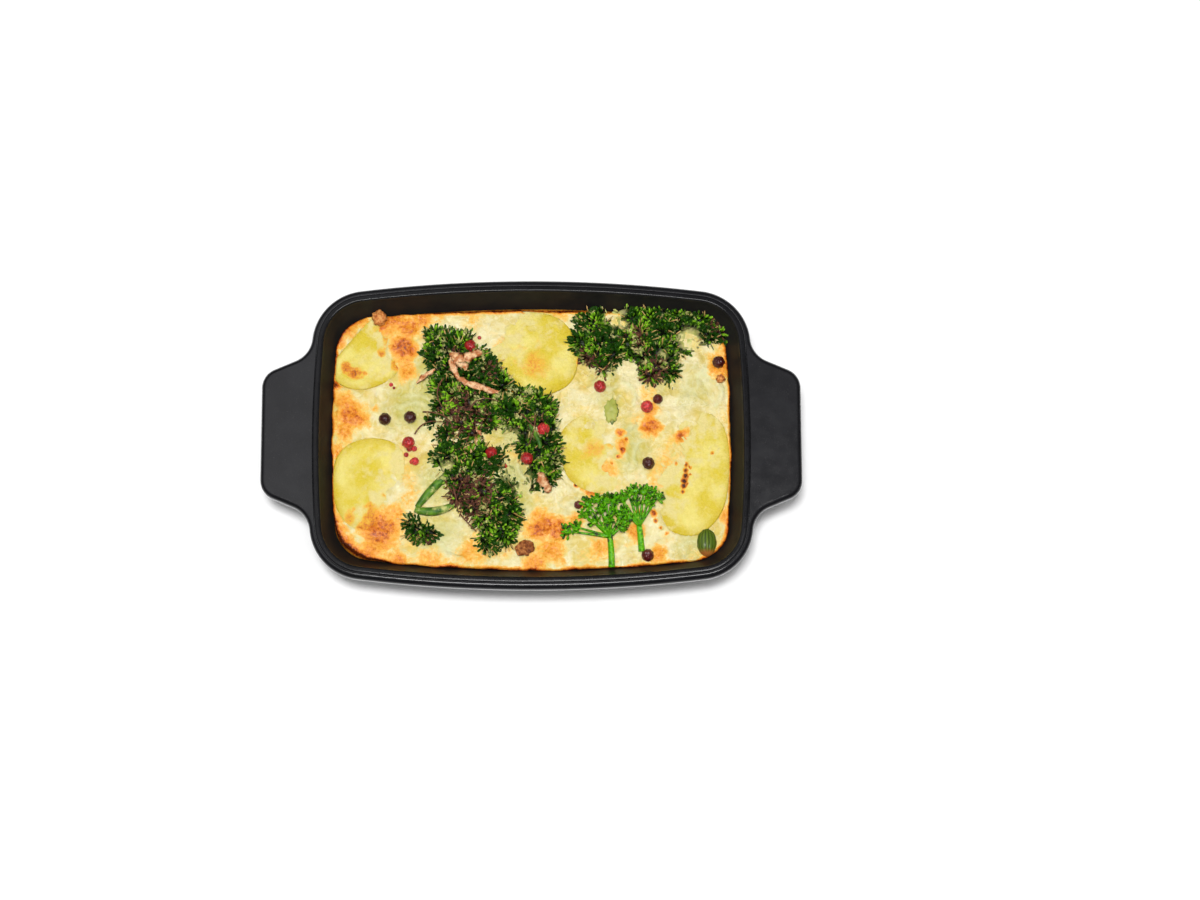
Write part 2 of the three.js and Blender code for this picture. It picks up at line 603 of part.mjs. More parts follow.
const SLICES = [
  { name: "back_left", at: [-0.79, 0.63], reach: [0.9, 0.76], turn: 20, lean: [-3, 3] },
  { name: "front_left", at: [-0.81, -0.36], reach: [1, 0.74], turn: 86, lean: [2, 3] },
  { name: "back_middle", at: [-0.02, 0.63], reach: [1.1, 0.82], turn: -25, lean: [-3, 1] },
  { name: "right", at: [0.8, -0.27], reach: [1.2, 0.75], turn: 78, lean: [1, -2] },
  { name: "centre", at: [0.32, -0.13], reach: [0.86, 0.82], turn: 30, lean: [1, 1] },
];
for (const slice of SLICES) place(`potato_slice_${slice.name}`, POTATO, (grow) => sliceSolid(slice, grow));

place("gratin_custard", CUSTARD, custardSolid);
addMesh("dish", dishGeometry(), STONEWARE);

export default root;
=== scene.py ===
import math

import bpy
import numpy as np
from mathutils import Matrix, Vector, noise
from mathutils.bvhtree import BVHTree


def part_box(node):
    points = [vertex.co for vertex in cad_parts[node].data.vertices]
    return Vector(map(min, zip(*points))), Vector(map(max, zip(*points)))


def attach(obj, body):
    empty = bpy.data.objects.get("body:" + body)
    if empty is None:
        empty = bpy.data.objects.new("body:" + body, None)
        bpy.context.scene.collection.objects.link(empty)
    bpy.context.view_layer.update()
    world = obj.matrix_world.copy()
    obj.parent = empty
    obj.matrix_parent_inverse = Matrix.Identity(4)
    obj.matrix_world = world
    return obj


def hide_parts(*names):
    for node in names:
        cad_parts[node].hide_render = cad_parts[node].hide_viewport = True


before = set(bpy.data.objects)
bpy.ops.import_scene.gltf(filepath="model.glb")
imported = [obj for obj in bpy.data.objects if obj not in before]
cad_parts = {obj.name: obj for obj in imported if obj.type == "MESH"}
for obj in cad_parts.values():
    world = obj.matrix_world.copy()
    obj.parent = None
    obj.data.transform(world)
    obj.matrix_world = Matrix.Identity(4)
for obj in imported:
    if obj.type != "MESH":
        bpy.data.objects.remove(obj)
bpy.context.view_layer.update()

# Dish
# One piece of stoneware: foot, wall, raised rim and two flat tab handles, pressed in a mould and fired.
# Its charcoal glaze is satin, browner inside where food has baked on, and the ring of the foot is bare.
MM = 0.001
DISH_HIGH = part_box("dish")[1]
DISH_HEIGHT = DISH_HIGH[2]
FLOOR_Z = 6 * MM
FLOOR_FILLET = 9 * MM
WALL = 5 * MM
FOOT_INSET = 4 * MM
FOOT_WIDTH = 7 * MM
FOOT_HEIGHT = 1.2 * MM
CREST_WIDTH = 2.8 * MM
CREST_HEIGHT = 1.6 * MM
CREST_ROUND = 1.0 * MM
CREST_HOLLOW = 0.5 * MM
FLANGE_THICKNESS = 7 * MM
FLANGE_ROUND = 2.2 * MM
FLANGE_FLAT = 0.3 * MM
HANDLE_END = 41.6 * MM
HANDLE_CORNER = 9 * MM
HANDLE_FLANK = math.radians(23)
HANDLE_ROOT = 12 * MM
MOUTH = {
    "half_length": 94.3 * MM,
    "half_width": 64.3 * MM,
    "corner": 19.2 * MM,
    "long_bow": 625 * MM,
    "short_bow": 540 * MM,
}
FLOOR = dict(MOUTH, half_length=80 * MM, half_width=50.5 * MM, corner=13 * MM)
MIDDLE_INSET = 30 * MM
RECESS_INSET = 12 * MM
LONG_STEPS = 24
CORNER_STEPS = 28
HANDLE_STEPS = 12
ROUND_STEPS = 7
WALL_STEPS = 6


def grown(size, offset):
    """A bowed rectangle made larger all round: every one of its sizes is a half length or a radius."""
    return {key: value + offset for key, value in size.items()}


def cavity(z):
    """The bowed rectangle of the inside wall at a height, with the hollow where the wall meets the floor."""
    share = (z - FLOOR_Z) / (DISH_HEIGHT - FLOOR_Z)
    rise = min(1.0, (z - FLOOR_Z) / FLOOR_FILLET)
    hollow = FLOOR_FILLET * (1 - math.sqrt(1 - (1 - rise) ** 2))
    straight = {key: FLOOR[key] + share * (MOUTH[key] - FLOOR[key]) for key in MOUTH}
    return grown(straight, -hollow)


def bowed_arcs(half_length, half_width, corner, long_bow, short_bow):
    """Centre, radius and end angles of the long, corner and short arcs in a quarter of the outline."""
    long_centre = np.array([0.0, half_width - long_bow])
    short_centre = np.array([half_length - short_bow, 0.0])
    between = short_centre - long_centre
    distance = np.hypot(*between)
    unit = between / distance
    along = (distance**2 + (long_bow - corner) ** 2 - (short_bow - corner) ** 2) / (2 * distance)
    across = math.sqrt((long_bow - corner) ** 2 - along**2)
    middle = long_centre + along * unit + across * np.array([unit[1], -unit[0]])
    first = math.atan2(*(middle - long_centre)[::-1])
    second = math.atan2(*(middle - short_centre)[::-1])
    return [
        (long_centre, long_bow, math.pi / 2, first),
        (middle, corner, first, second),
        (short_centre, short_bow, second, 0.0),
    ]


def arc_points(centre, radius, angles):
    return centre + radius * np.stack([np.cos(angles), np.sin(angles)], axis=1)


def outline_at(size, shares):
    """Points of a quarter of the outline at shares of its length, from the middle of a long side."""
    arcs = bowed_arcs(**size)
    lengths = np.array([radius * (start - end) for _, radius, start, end in arcs])
    ends = np.cumsum(lengths)
    points = np.empty((len(shares), 2))
    for i, share in enumerate(shares):
        travelled = share * ends[-1]
        k = min(int(np.searchsorted(ends, travelled)), 2)
        centre, radius, start, _ = arcs[k]
        angle = start - (travelled - ends[k] + lengths[k]) / radius
        points[i] = centre + radius * np.array([math.cos(angle), math.sin(angle)])
    return points


def ring_of(quarter):
    """Four mirrored quarters in one ring, anticlockwise seen from above."""
    inner, top, end = quarter[1:-1], quarter[:1], quarter[-1:]
    left, below = np.array([-1, 1]), np.array([1, -1])
    back = inner[::-1]
    halves = [end, back, top, inner * left, end * left, -back, top * below, inner * below]
    return np.concatenate(halves)


def offset_ring(ring, offset):
    along = np.roll(ring, -1, axis=0) - np.roll(ring, 1, axis=0)
    along /= np.linalg.norm(along, axis=1)[:, None]
    return ring + offset * np.stack([along[:, 1], -along[:, 0]], axis=1)


def flange_quarter():
    """A quarter of the flange's outline: the rim, the handle's hollow root, its side, corner and end."""
    long_arc, corner_arc, _ = bowed_arcs(**RIM)
    normal = math.pi / 2 - HANDLE_FLANK
    outwards = np.array([math.cos(normal), math.sin(normal)])
    inwards = np.array([-outwards[1], outwards[0]])
    end_x = DISH_HIGH[0]
    corner_centre = np.array([end_x - HANDLE_CORNER, HANDLE_END / 2])
    flank_end = corner_centre + HANDLE_CORNER * outwards
    start = flank_end + HANDLE_ROOT * outwards
    towards = corner_arc[0] - start
    along = towards @ inwards
    reach = corner_arc[1] + HANDLE_ROOT
    root = start + (along - math.sqrt(reach**2 - towards @ towards + along**2)) * inwards
    meets = math.atan2(*(root - corner_arc[0])[::-1])
    flank_start = root - HANDLE_ROOT * outwards
    root_turns = np.linspace(meets + math.pi, normal + math.pi, HANDLE_STEPS, endpoint=False)
    steps = np.linspace(0, 1, HANDLE_STEPS + 1)[:, None]
    rim_part = [
        arc_points(*long_arc[:2], np.linspace(long_arc[2], long_arc[3], LONG_STEPS, endpoint=False)),
        arc_points(*corner_arc[:2], np.linspace(corner_arc[2], meets, CORNER_STEPS, endpoint=False)),
    ]
    handle_part = [
        arc_points(root, HANDLE_ROOT, root_turns),
        (flank_start + steps * (flank_end - flank_start))[:-1],
        arc_points(corner_centre, HANDLE_CORNER, np.linspace(normal, 0, HANDLE_STEPS, endpoint=False)),
        np.array([end_x, HANDLE_END / 2]) * (1 - steps * [0, 1]),
    ]
    return np.concatenate(rim_part), np.concatenate(handle_part)


def stations_beside(rim_part, handle_part):
    """The share of the rim's quarter at which each point of the flange's quarter stands."""
    shares = np.linspace(0, 1, 4001)
    path = outline_at(RIM, shares)
    on_rim = np.interp(rim_part[:, 0] - rim_part[:, 1], path[:, 0] - path[:, 1], shares)
    beside = np.interp(-handle_part[:, 1], -path[:, 1], shares)
    return np.concatenate([on_rim, beside])


RIM = grown(MOUTH, CREST_WIDTH + FLANGE_ROUND + FLANGE_FLAT)
flange_parts = flange_quarter()
FLANGE_RING = ring_of(np.concatenate(flange_parts))
DISH_STATIONS = stations_beside(*flange_parts)


def dish_ring(size):
    return ring_of(outline_at(size, DISH_STATIONS))


def dish_rings():
    """Rings of the dish from the middle of its underside round to the middle of its floor: the outline,
    the height, and how bare, how much inside and how near an edge the glaze is there."""
    turns = np.linspace(0, math.pi / 2, ROUND_STEPS)
    ledge_z = DISH_HEIGHT - CREST_HEIGHT
    flange_z = ledge_z - FLANGE_THICKNESS
    heel = FLOOR_Z + FLOOR_FILLET
    sole = grown(FLOOR, WALL - FOOT_INSET)
    heel_size = grown(cavity(heel), WALL)
    heel_reach = heel_size["half_length"] - sole["half_length"]
    underside = (-MIDDLE_INSET, -RECESS_INSET)
    rings = [(dish_ring(grown(FLOOR, offset)), FOOT_HEIGHT, 0, 0, 0) for offset in underside]
    for offset, z, bare in ((-FOOT_WIDTH - FOOT_HEIGHT, FOOT_HEIGHT, 0), (-FOOT_WIDTH, 0, 1), (0, 0, 1)):
        rings.append((dish_ring(grown(sole, offset)), z, bare, 0, 0))
    for turn in turns[1:]:
        size = grown(heel_size, -heel_reach * (1 - math.sin(turn)))
        rings.append((dish_ring(size), heel * (1 - math.cos(turn)), 0, 0, 0))
    for share in np.linspace(0, 1, WALL_STEPS)[1:]:
        z = heel + share * (flange_z - heel)
        rings.append((dish_ring(grown(cavity(z), WALL)), z, 0, 0, 0))
    roundings = [(turn, flange_z, 1) for turn in turns[::-1]] + [(turn, ledge_z, -1) for turn in turns]
    for turn, face_z, way in roundings:
        inset = FLANGE_ROUND * (1 - math.cos(turn))
        z = face_z + way * FLANGE_ROUND * (1 - math.sin(turn))
        rings.append((offset_ring(FLANGE_RING, -inset), z, 0, 0, math.sin(2 * turn)))
    rings.append((offset_ring(FLANGE_RING, -FLANGE_ROUND - 0.1 * FLANGE_FLAT), ledge_z, 0, 0, 0))
    rings.append((dish_ring(grown(MOUTH, CREST_WIDTH + 0.8 * FLANGE_FLAT)), ledge_z, 0, 0, 0))
    for turn in turns:
        reach = CREST_WIDTH + CREST_HOLLOW * (1 - math.sin(turn))
        z = ledge_z + CREST_HOLLOW * (1 - math.cos(turn))
        rings.append((dish_ring(grown(MOUTH, min(reach, CREST_WIDTH + 0.6 * FLANGE_FLAT))), z, 0, 0, 0))
    for turn in turns:
        offset = CREST_WIDTH - CREST_ROUND * (1 - math.cos(turn))
        z = DISH_HEIGHT - CREST_ROUND * (1 - math.sin(turn))
        rings.append((dish_ring(grown(MOUTH, offset)), z, 0, 0, 1))
    for turn in turns[::-1]:
        z = DISH_HEIGHT - CREST_ROUND * (1 - math.sin(turn))
        size = grown(cavity(DISH_HEIGHT - CREST_ROUND), CREST_ROUND * (1 - math.cos(turn)))
        rings.append((dish_ring(size), z, 0, 1 - math.sin(turn), math.sin(turn)))
    for share in np.linspace(0, 1, 3 * WALL_STEPS)[1:]:
        z = DISH_HEIGHT - CREST_ROUND + share * (heel - DISH_HEIGHT + CREST_ROUND)
        rings.append((dish_ring(cavity(z)), z, 0, 1, 0))
    for turn in turns[1:]:
        z = FLOOR_Z + FLOOR_FILLET * (1 - math.sin(turn))
        rings.append((dish_ring(cavity(z)), z, 0, 1, 0))
    rings.append((dish_ring(grown(FLOOR, -MIDDLE_INSET)), FLOOR_Z, 0, 1, 0))
    return rings


def loft_faces(rings, around):
    """Quads between rings, with fans from two middle points, listed last, that close both ends."""
    i = np.arange(around)
    j = (i + 1) % around
    quads = [np.stack([k * around + i, k * around + j, (k + 1) * around + j, (k + 1) * around + i], 1)
             for k in range(rings - 1)]
    first, last = rings * around, rings * around + 1
    top = (rings - 1) * around
    fans = [(first, int(b), int(a)) for a, b in zip(i, j)]
    fans += [(last, int(top + a), int(top + b)) for a, b in zip(i, j)]
    return np.concatenate(quads).tolist() + fans


def add_mesh(name, points, faces, material, **attributes):
    """A smooth mesh object at the origin whose points carry the attributes given."""
    mesh = bpy.data.meshes.new(name)
    mesh.from_pydata(np.asarray(points).tolist(), [], faces)
    for key, values in attributes.items():
        values = np.asarray(values, dtype=np.float32)
        kind, field = ("FLOAT_VECTOR", "vector") if values.ndim == 2 else ("FLOAT", "value")
        mesh.attributes.new(key, kind, "POINT").data.foreach_set(field, values.ravel())
    mesh.shade_smooth()
    mesh.materials.append(material)
    made = bpy.data.objects.new(name, mesh)
    bpy.context.scene.collection.objects.link(made)
    return made


def srgb(red, green, blue):
    """A colour as a screen shows it, 0 to 255, as the linear colour that a shader takes."""
    parts = [part / 255 for part in (red, green, blue)]
    return tuple(p / 12.92 if p <= 0.04045 else ((p + 0.055) / 1.055) ** 2.4 for p in parts) + (1.0,)


def set_inputs(tree, node, inputs):
    """Gives each input of a node a value, or a link from a socket or from a node's first output in use."""
    for key, value in inputs.items():
        if isinstance(value, bpy.types.Node):
            value = next(socket for socket in value.outputs if socket.enabled)
        if isinstance(value, bpy.types.NodeSocket):
            tree.links.new(value, node.inputs[key])
        else:
            node.inputs[key].default_value = value


def add_node(tree, kind, inputs=None, **settings):
    """A node with its settings made and its inputs given."""
    made = tree.nodes.new(kind)
    for key, value in settings.items():
        setattr(made, key, value)
    set_inputs(tree, made, inputs or {})
    return made


def new_material(name):
    """A material with an empty tree but for its shader."""
    made = bpy.data.materials.new(name)
    made.use_nodes = True
    return made, made.node_tree, made.node_tree.nodes["Principled BSDF"]


def attribute(tree, name):
    return add_node(tree, "ShaderNodeAttribute", attribute_name=name).outputs["Fac"]


def noise_at(tree, scale, detail=3.0, roughness=0.55):
    """Noise over the object's own coordinates; scale is in cycles per metre."""
    place = add_node(tree, "ShaderNodeTexCoord").outputs["Object"]
    inputs = {"Vector": place, "Scale": scale, "Detail": detail, "Roughness": roughness}
    return add_node(tree, "ShaderNodeTexNoise", inputs).outputs["Fac"]


def ranged(tree, value, low, high, to_low=0.0, to_high=1.0):
    inputs = {"Value": value, "From Min": low, "From Max": high, "To Min": to_low, "To Max": to_high}
    return add_node(tree, "ShaderNodeMapRange", inputs, interpolation_type="SMOOTHSTEP").outputs["Result"]


def maths(tree, operation, a, b):
    return add_node(tree, "ShaderNodeMath", {0: a, 1: b}, operation=operation).outputs["Value"]


def times(tree, a, b):
    return maths(tree, "MULTIPLY", a, b)


def plus(tree, a, b):
    return maths(tree, "ADD", a, b)


def mixed(tree, factor, a, b):
    made = add_node(tree, "ShaderNodeMix", {0: factor, 6: a, 7: b}, data_type="RGBA")
    return made.outputs[2]


def ramp(tree, factor, stops):
    """A colour ramp through stops of position and colour."""
    made = add_node(tree, "ShaderNodeValToRGB", {"Fac": factor})
    elements = made.color_ramp.elements
    while len(elements) < len(stops):
        elements.new(0.5)
    for element, (position, colour) in zip(elements, stops):
        element.position = position
        element.color = colour
    return made.outputs["Color"]


def bump(tree, height, distance, strength=1.0):
    inputs = {"Height": height, "Distance": distance, "Strength": strength}
    return add_node(tree, "ShaderNodeBump", inputs).outputs["Normal"]


def glaze_material():
    material, tree, shader = new_material("charcoal glaze")
    bare, inside, edge = (attribute(tree, name) for name in ("bare", "inside", "edge"))
    body = mixed(tree, ranged(tree, noise_at(tree, 60), 0.35, 0.65), srgb(26, 26, 29), srgb(32, 32, 35))
    specks = ranged(tree, noise_at(tree, 1500, 2.0), 0.66, 0.74)
    speckled = mixed(tree, times(tree, specks, 0.35), body, srgb(70, 68, 66))
    # thin marks the rounded edges of the flange and the crest, which are painted near black: a painted dark
    # reflection.
    thin = times(tree, edge, ranged(tree, noise_at(tree, 240), 0.3, 0.7, 0.5, 0.9))
    edged = mixed(tree, thin, speckled, srgb(15, 15, 17))
    greasy = times(tree, inside, ranged(tree, noise_at(tree, 130, 5.0), 0.25, 0.7, 0.35, 0.9))
    stained = mixed(tree, greasy, edged, srgb(44, 42, 38))
    clay = mixed(tree, noise_at(tree, 700, 4.0), srgb(168, 152, 132), srgb(196, 182, 162))
    worn = ranged(tree, noise_at(tree, 180, 4.0), 0.3, 0.7, 0.13, 0.19)
    baked = maths(tree, "MAXIMUM", worn, times(tree, inside, 0.42))
    shine = ranged(tree, inside, 0.0, 1.0, 0.5, 0.03)
    ripple = plus(tree, noise_at(tree, 90, 2.0), times(tree, noise_at(tree, 900), 0.06))
    set_inputs(tree, shader, {
        "Base Color": mixed(tree, bare, stained, clay),
        "Roughness": maths(tree, "MAXIMUM", baked, times(tree, bare, 0.85)),
        "Specular IOR Level": times(tree, shine, ranged(tree, edge, 0.0, 1.0, 1.0, 0.55)),
        "Normal": bump(tree, ripple, 0.25 * MM, 0.35),
    })
    return material


def build_dish():
    rings = dish_rings()
    around = len(FLANGE_RING)
    outlines, heights, *marks = zip(*rings)
    points = [np.column_stack([ring, np.full(around, z)]) for ring, z in zip(outlines, heights)]
    ends = np.array([[0, 0, heights[0]], [0, 0, heights[-1]]])
    bare, inside, edge = (np.repeat(mark, around) for mark in marks)
    made = add_mesh(
        "stoneware_dish", np.concatenate(points + [ends]), loft_faces(len(rings), around), glaze_material(),
        bare=np.append(bare, [0, 0]), inside=np.append(inside, [0, 1]), edge=np.append(edge, [0, 0]),
    )
    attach(made, "dish")
    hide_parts("dish")


build_dish()

# Potato slices
# Boiled waxy potato cut across in slices about four millimetres thick and laid in the dish before the custard
# was poured round them. Each lies tilted, with one edge proud of the custard and the rest just under it.
FILL_Z = FLOOR_Z + 33 * MM
CROWN = 1.5 * MM
SWELL = 0.7 * MM
CUSTARD_GAP = 0.3 * MM
FILL = grown(cavity(FILL_Z), -CUSTARD_GAP)
SLICE_DEPTH = 3 * MM
SLICE_EDGE = 0.6 * MM
SLICE_INSET = 1.3 * MM
SLICE_STEPS = 9
SLICE_RINGS = 22
EDGE_STEPS = 6
# The top of a slice: its rings as shares of the outline, its broad and fine waves in mm, where its waxy rind
# starts, and the lift up to which a film of cream covers it.
TOP_SHARES = (0.95, 0.04)
WAVE_HEIGHTS = (0.12, 0.05)
RIND_START, RIND_WIDTH = 0.82, 0.18
FILM_TOP = 0.55 * MM
FILM_FADE = 0.9 * MM
# Places are shares of the custard's half length and half width. Crisp is the bearing of the proud edge, in
# degrees. A slice stands out by its proud height in the middle, in mm, and by its lean more at that edge.
# Scorched spots have a place, a reach in mm and a depth of colour.
SLICES = {
    "back_left": {
        "outline": [(-1.0, 0.51), (-0.99, 0.57), (-0.935, 0.68), (-0.875, 0.785), (-0.815, 0.885),
                    (-0.765, 0.93), (-0.69, 0.90), (-0.635, 0.80), (-0.62, 0.68), (-0.65, 0.54),
                    (-0.71, 0.44), (-0.79, 0.38), (-0.89, 0.365), (-0.97, 0.42)],
        "crisp": 200, "proud": 0.35, "lean": 0.95,
        "scorched": [((-0.925, 0.54), 2.4, 0.62), ((-0.885, 0.49), 3.0, 0.66), ((-0.65, 0.74), 8, 0.75),
                     ((-0.63, 0.56), 6, 0.65), ((-0.72, 0.88), 5, 0.6)],
    },
    "front_left": {
        "outline": [(-0.98, -0.22), (-0.95, -0.11), (-0.885, -0.035), (-0.79, -0.005), (-0.70, -0.03),
                    (-0.64, -0.11), (-0.63, -0.26), (-0.66, -0.45), (-0.72, -0.60), (-0.80, -0.69),
                    (-0.885, -0.68), (-0.945, -0.59), (-0.98, -0.44)],
        "crisp": 150, "proud": 0.35, "lean": 0.85,
        "scorched": [((-0.75, -0.66), 8, 0.7), ((-0.9, -0.62), 3, 0.4)],
    },
    "back_middle": {
        "outline": [(-0.30, 0.84), (-0.25, 0.92), (-0.13, 0.955), (0.02, 0.96), (0.145, 0.90), (0.215, 0.765),
                    (0.235, 0.60), (0.205, 0.43), (0.125, 0.34), (0.02, 0.31), (-0.08, 0.40), (-0.17, 0.55),
                    (-0.25, 0.69)],
        "crisp": -35, "proud": 0.3, "lean": 0.85,
        "scorched": [((0.02, 0.55), 7, 0.32), ((0.25, 0.54), 2.5, 0.6)],
    },
    "right": {
        "outline": [(0.80, 0.17), (0.89, 0.185), (0.96, 0.08), (0.985, -0.11), (0.98, -0.34), (0.95, -0.54),
                    (0.88, -0.68), (0.79, -0.74), (0.69, -0.70), (0.64, -0.57), (0.62, -0.38), (0.65, -0.15),
                    (0.71, 0.05)],
        "crisp": -30, "proud": 0.25, "lean": 0.85,
        "scorched": [((0.768, -0.21), 1.2, 0.9), ((0.765, -0.25), 1.4, 1.0), ((0.766, -0.29), 1.6, 1.0),
                     ((0.76, -0.33), 1.4, 1.0), ((0.757, -0.37), 1.3, 1.0), ((0.752, -0.41), 1.0, 0.9),
                     ((0.787, -0.23), 0.7, 0.8), ((0.79, -0.28), 0.7, 0.8), ((0.776, -0.35), 0.6, 0.8),
                     ((0.90, -0.12), 1.0, 0.7), ((0.72, -0.2), 0.8, 0.8), ((0.70, -0.10), 0.8, 0.8)],
    },
    "centre": {
        "outline": [(0.145, 0.0), (0.205, 0.125), (0.305, 0.185), (0.42, 0.17), (0.51, 0.08), (0.55, -0.09),
                    (0.53, -0.255), (0.45, -0.375), (0.335, -0.42), (0.235, -0.375), (0.165, -0.255)],
        "crisp": 190, "proud": -0.15, "lean": 0.7,
        "scorched": [((0.30, -0.1), 5, 0.3), ((0.44, -0.1), 4, 0.5)],
    },
}


def place(u, v):
    """Metres in plan of a place given in shares of the custard's half length and half width."""
    return np.array([u * FILL["half_length"], v * FILL["half_width"]])


def custard_top(x, y):
    """Height of the custard's top, crowned and gently waved."""
    u, v = x / FILL["half_length"], y / FILL["half_width"]
    waves = np.sin(2.4 * u + 0.7) * np.cos(2.9 * v - 0.5)
    return FILL_Z + CROWN * (1 - u * u) * (1 - v * v) + SWELL * waves


def kept_in(xy, inset):
    """Places in plan, pulled to the middle where they are outside the custard's outline less an inset."""
    wall = ring_of(outline_at(grown(FILL, -inset), np.linspace(0, 1, 41)))
    bearings, distances = np.arctan2(wall[:, 1], wall[:, 0]), np.hypot(*wall.T)
    limit = np.interp(np.arctan2(xy[:, 1], xy[:, 0]), bearings, distances, period=2 * math.pi)
    return xy * np.minimum(1, limit / np.maximum(np.hypot(*xy.T), MM))[:, None]


def fractal(points, reach, seed, octaves=3):
    """Fractal noise at points, about -1 to 1, with its coarsest lumps about one reach across."""
    shift = Vector((seed * 7.31, seed * 3.17, seed * 1.73))
    return np.array([noise.fractal(Vector(p) / reach + shift, 1.0, 2.0, octaves) for p in points])


def spots(points, listed, seed, ragged=0.35):
    """How strongly listed spots colour each point, with ragged outlines."""
    found = np.zeros(len(points))
    wander = 1 + ragged * fractal(points, 5 * MM, seed, 4)
    for at, reach, depth in listed:
        away = np.hypot(*(points[:, :2] - place(*at)).T) / (reach * MM) * wander
        found = np.maximum(found, depth * np.clip(1.4 - away, 0, 1) ** 0.9)
    return found


def slice_outline(shape):
    """A smooth closed line through a slice's outline."""
    listed = np.array([place(*at) for at in shape["outline"]])
    before, after, beyond = (np.roll(listed, -k, axis=0) for k in (-1, 1, 2))
    t = np.linspace(0, 1, SLICE_STEPS, endpoint=False)[:, None, None]
    curve = (2 * listed + (after - before) * t + (2 * before - 5 * listed + 4 * after - beyond) * t**2
             + (3 * listed - before - 3 * after + beyond) * t**3) / 2
    return curve.transpose(1, 0, 2).reshape(-1, 2)[::-1]


def slice_lift(shape, xy):
    """How far a slice stands out of the custard at points, and how far out on the slice they are."""
    outline = slice_outline(shape)
    middle = outline.mean(axis=0)
    around = np.arctan2(*(outline - middle).T[::-1])
    reach = np.hypot(*(outline - middle).T)
    order = np.argsort(around)
    offset = xy - middle
    bearing = np.arctan2(offset[:, 1], offset[:, 0])
    out = np.hypot(*offset.T) / np.interp(bearing, around[order], reach[order], period=2 * math.pi)
    crisp = math.radians(shape["crisp"])
    along = offset @ np.array([math.cos(crisp), math.sin(crisp)]) / reach.mean()
    return (shape["proud"] + shape["lean"] * along) * MM, out


def potato_material():
    material, tree, shader = new_material("boiled potato")
    mealy = ranged(tree, noise_at(tree, 75, 4.0), 0.38, 0.64)
    flesh = mixed(tree, mealy, srgb(220, 197, 60), srgb(236, 221, 126))
    waxy = mixed(tree, times(tree, attribute(tree, "edge"), 0.8), flesh, srgb(204, 176, 30))
    patches = ranged(tree, noise_at(tree, 160, 5.0, 0.6), 0.3, 0.7, -0.35, 0.7)
    film = ranged(tree, plus(tree, attribute(tree, "film"), patches), 0.3, 1.0)
    creamy = mixed(tree, film, waxy, srgb(230, 214, 140))
    grain = noise_at(tree, 900, 4.0, 0.7)
    depth = attribute(tree, "brown")
    toast = times(tree, maths(tree, "SUBTRACT", grain, 0.5), ranged(tree, depth, 0.05, 0.3, 0.0, 1.4))
    browned = ramp(tree, plus(tree, depth, toast), [
        (0.0, srgb(232, 208, 90)), (0.35, srgb(236, 178, 60)),
        (0.62, srgb(214, 118, 30)), (0.95, srgb(64, 28, 10)),
    ])
    lumps = plus(tree, grain, times(tree, noise_at(tree, 130, 2.0), 3.0))
    set_inputs(tree, shader, {
        "Base Color": mixed(tree, ranged(tree, depth, 0.05, 0.35), creamy, browned),
        "Roughness": ranged(tree, grain, 0.3, 0.7, 0.14, 0.36),
        "Specular IOR Level": 0.45,
        "Subsurface Weight": 0.25,
        "Subsurface Radius": (1.0, 0.75, 0.25),
        "Subsurface Scale": 2 * MM,
        "Normal": bump(tree, lumps, 0.7 * MM, 0.8),
    })
    return material


def build_slices():
    flesh = potato_material()
    turns = np.linspace(0, math.pi / 2, EDGE_STEPS)
    for seed, (name, shape) in enumerate(SLICES.items()):
        outline = slice_outline(shape)
        middle = outline.mean(axis=0)
        inset = SLICE_EDGE / np.hypot(*(outline - middle).T).mean()
        profile = [(0.5, -SLICE_DEPTH), (0.96, -SLICE_DEPTH), (1.0, -0.7 * SLICE_DEPTH)]
        profile += [(1 - inset * (1 - math.cos(t)), SLICE_EDGE * (math.sin(t) - 1)) for t in turns]
        profile += [(share, 0) for share in np.linspace(*TOP_SHARES, SLICE_RINGS)]
        rings = [middle + share * (outline - middle) for share, _ in profile]
        xy = kept_in(np.concatenate(rings + [[middle, middle]]), SLICE_INSET)
        drop = np.concatenate([np.full(len(outline), z) for _, z in profile] + [[-SLICE_DEPTH, 0]])
        lift, out = slice_lift(shape, xy)
        flat = np.column_stack([xy, np.zeros(len(xy))])
        broad, fine = fractal(flat, 12 * MM, 20 + seed), fractal(flat, 2 * MM, 30 + seed)
        wavy = WAVE_HEIGHTS[0] * broad + WAVE_HEIGHTS[1] * fine
        points = np.column_stack([xy, custard_top(*xy.T) + lift + drop + MM * wavy])
        made = add_mesh(
            f"potato_{name}", points, loft_faces(len(profile), len(outline)), flesh,
            edge=np.clip((out - RIND_START) / RIND_WIDTH, 0, 1),
            film=np.clip((FILM_TOP - lift) / FILM_FADE, 0, 1),
            brown=spots(points, shape["scorched"], 40 + seed, 0.6),
        )
        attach(made, "gratin")
        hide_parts(f"potato_slice_{name}")


build_slices()

# Custard
# Egg and cream set round the potato under grated cheese: pale, soft and a little shiny, puffed and browned in
# blisters, with limp strips of onion showing through, and shrunk from the wall behind a dark baked crust.
CUSTARD_AROUND = 112
CUSTARD_RINGS = 150
CUSTARD_SIDE = 9
CUSTARD_SLACK = 2.5 * MM
SHOULDER_WIDTH = 1.1 * MM
SHOULDER_DROP = 1.4 * MM
CHARRED_CORNER = (-0.93, -0.9)
CORNER_SHRINK_REACH = 22 * MM
CORNER_CRUST_REACH = 24 * MM
# Relief of the top in mm: broad and fine lumps, strips of onion, and the hollow where a slice shows.
LUMP_HEIGHTS = (1.0, 0.6)
ONION_HEIGHT = 0.5
SLICE_HOLLOW = 1.4
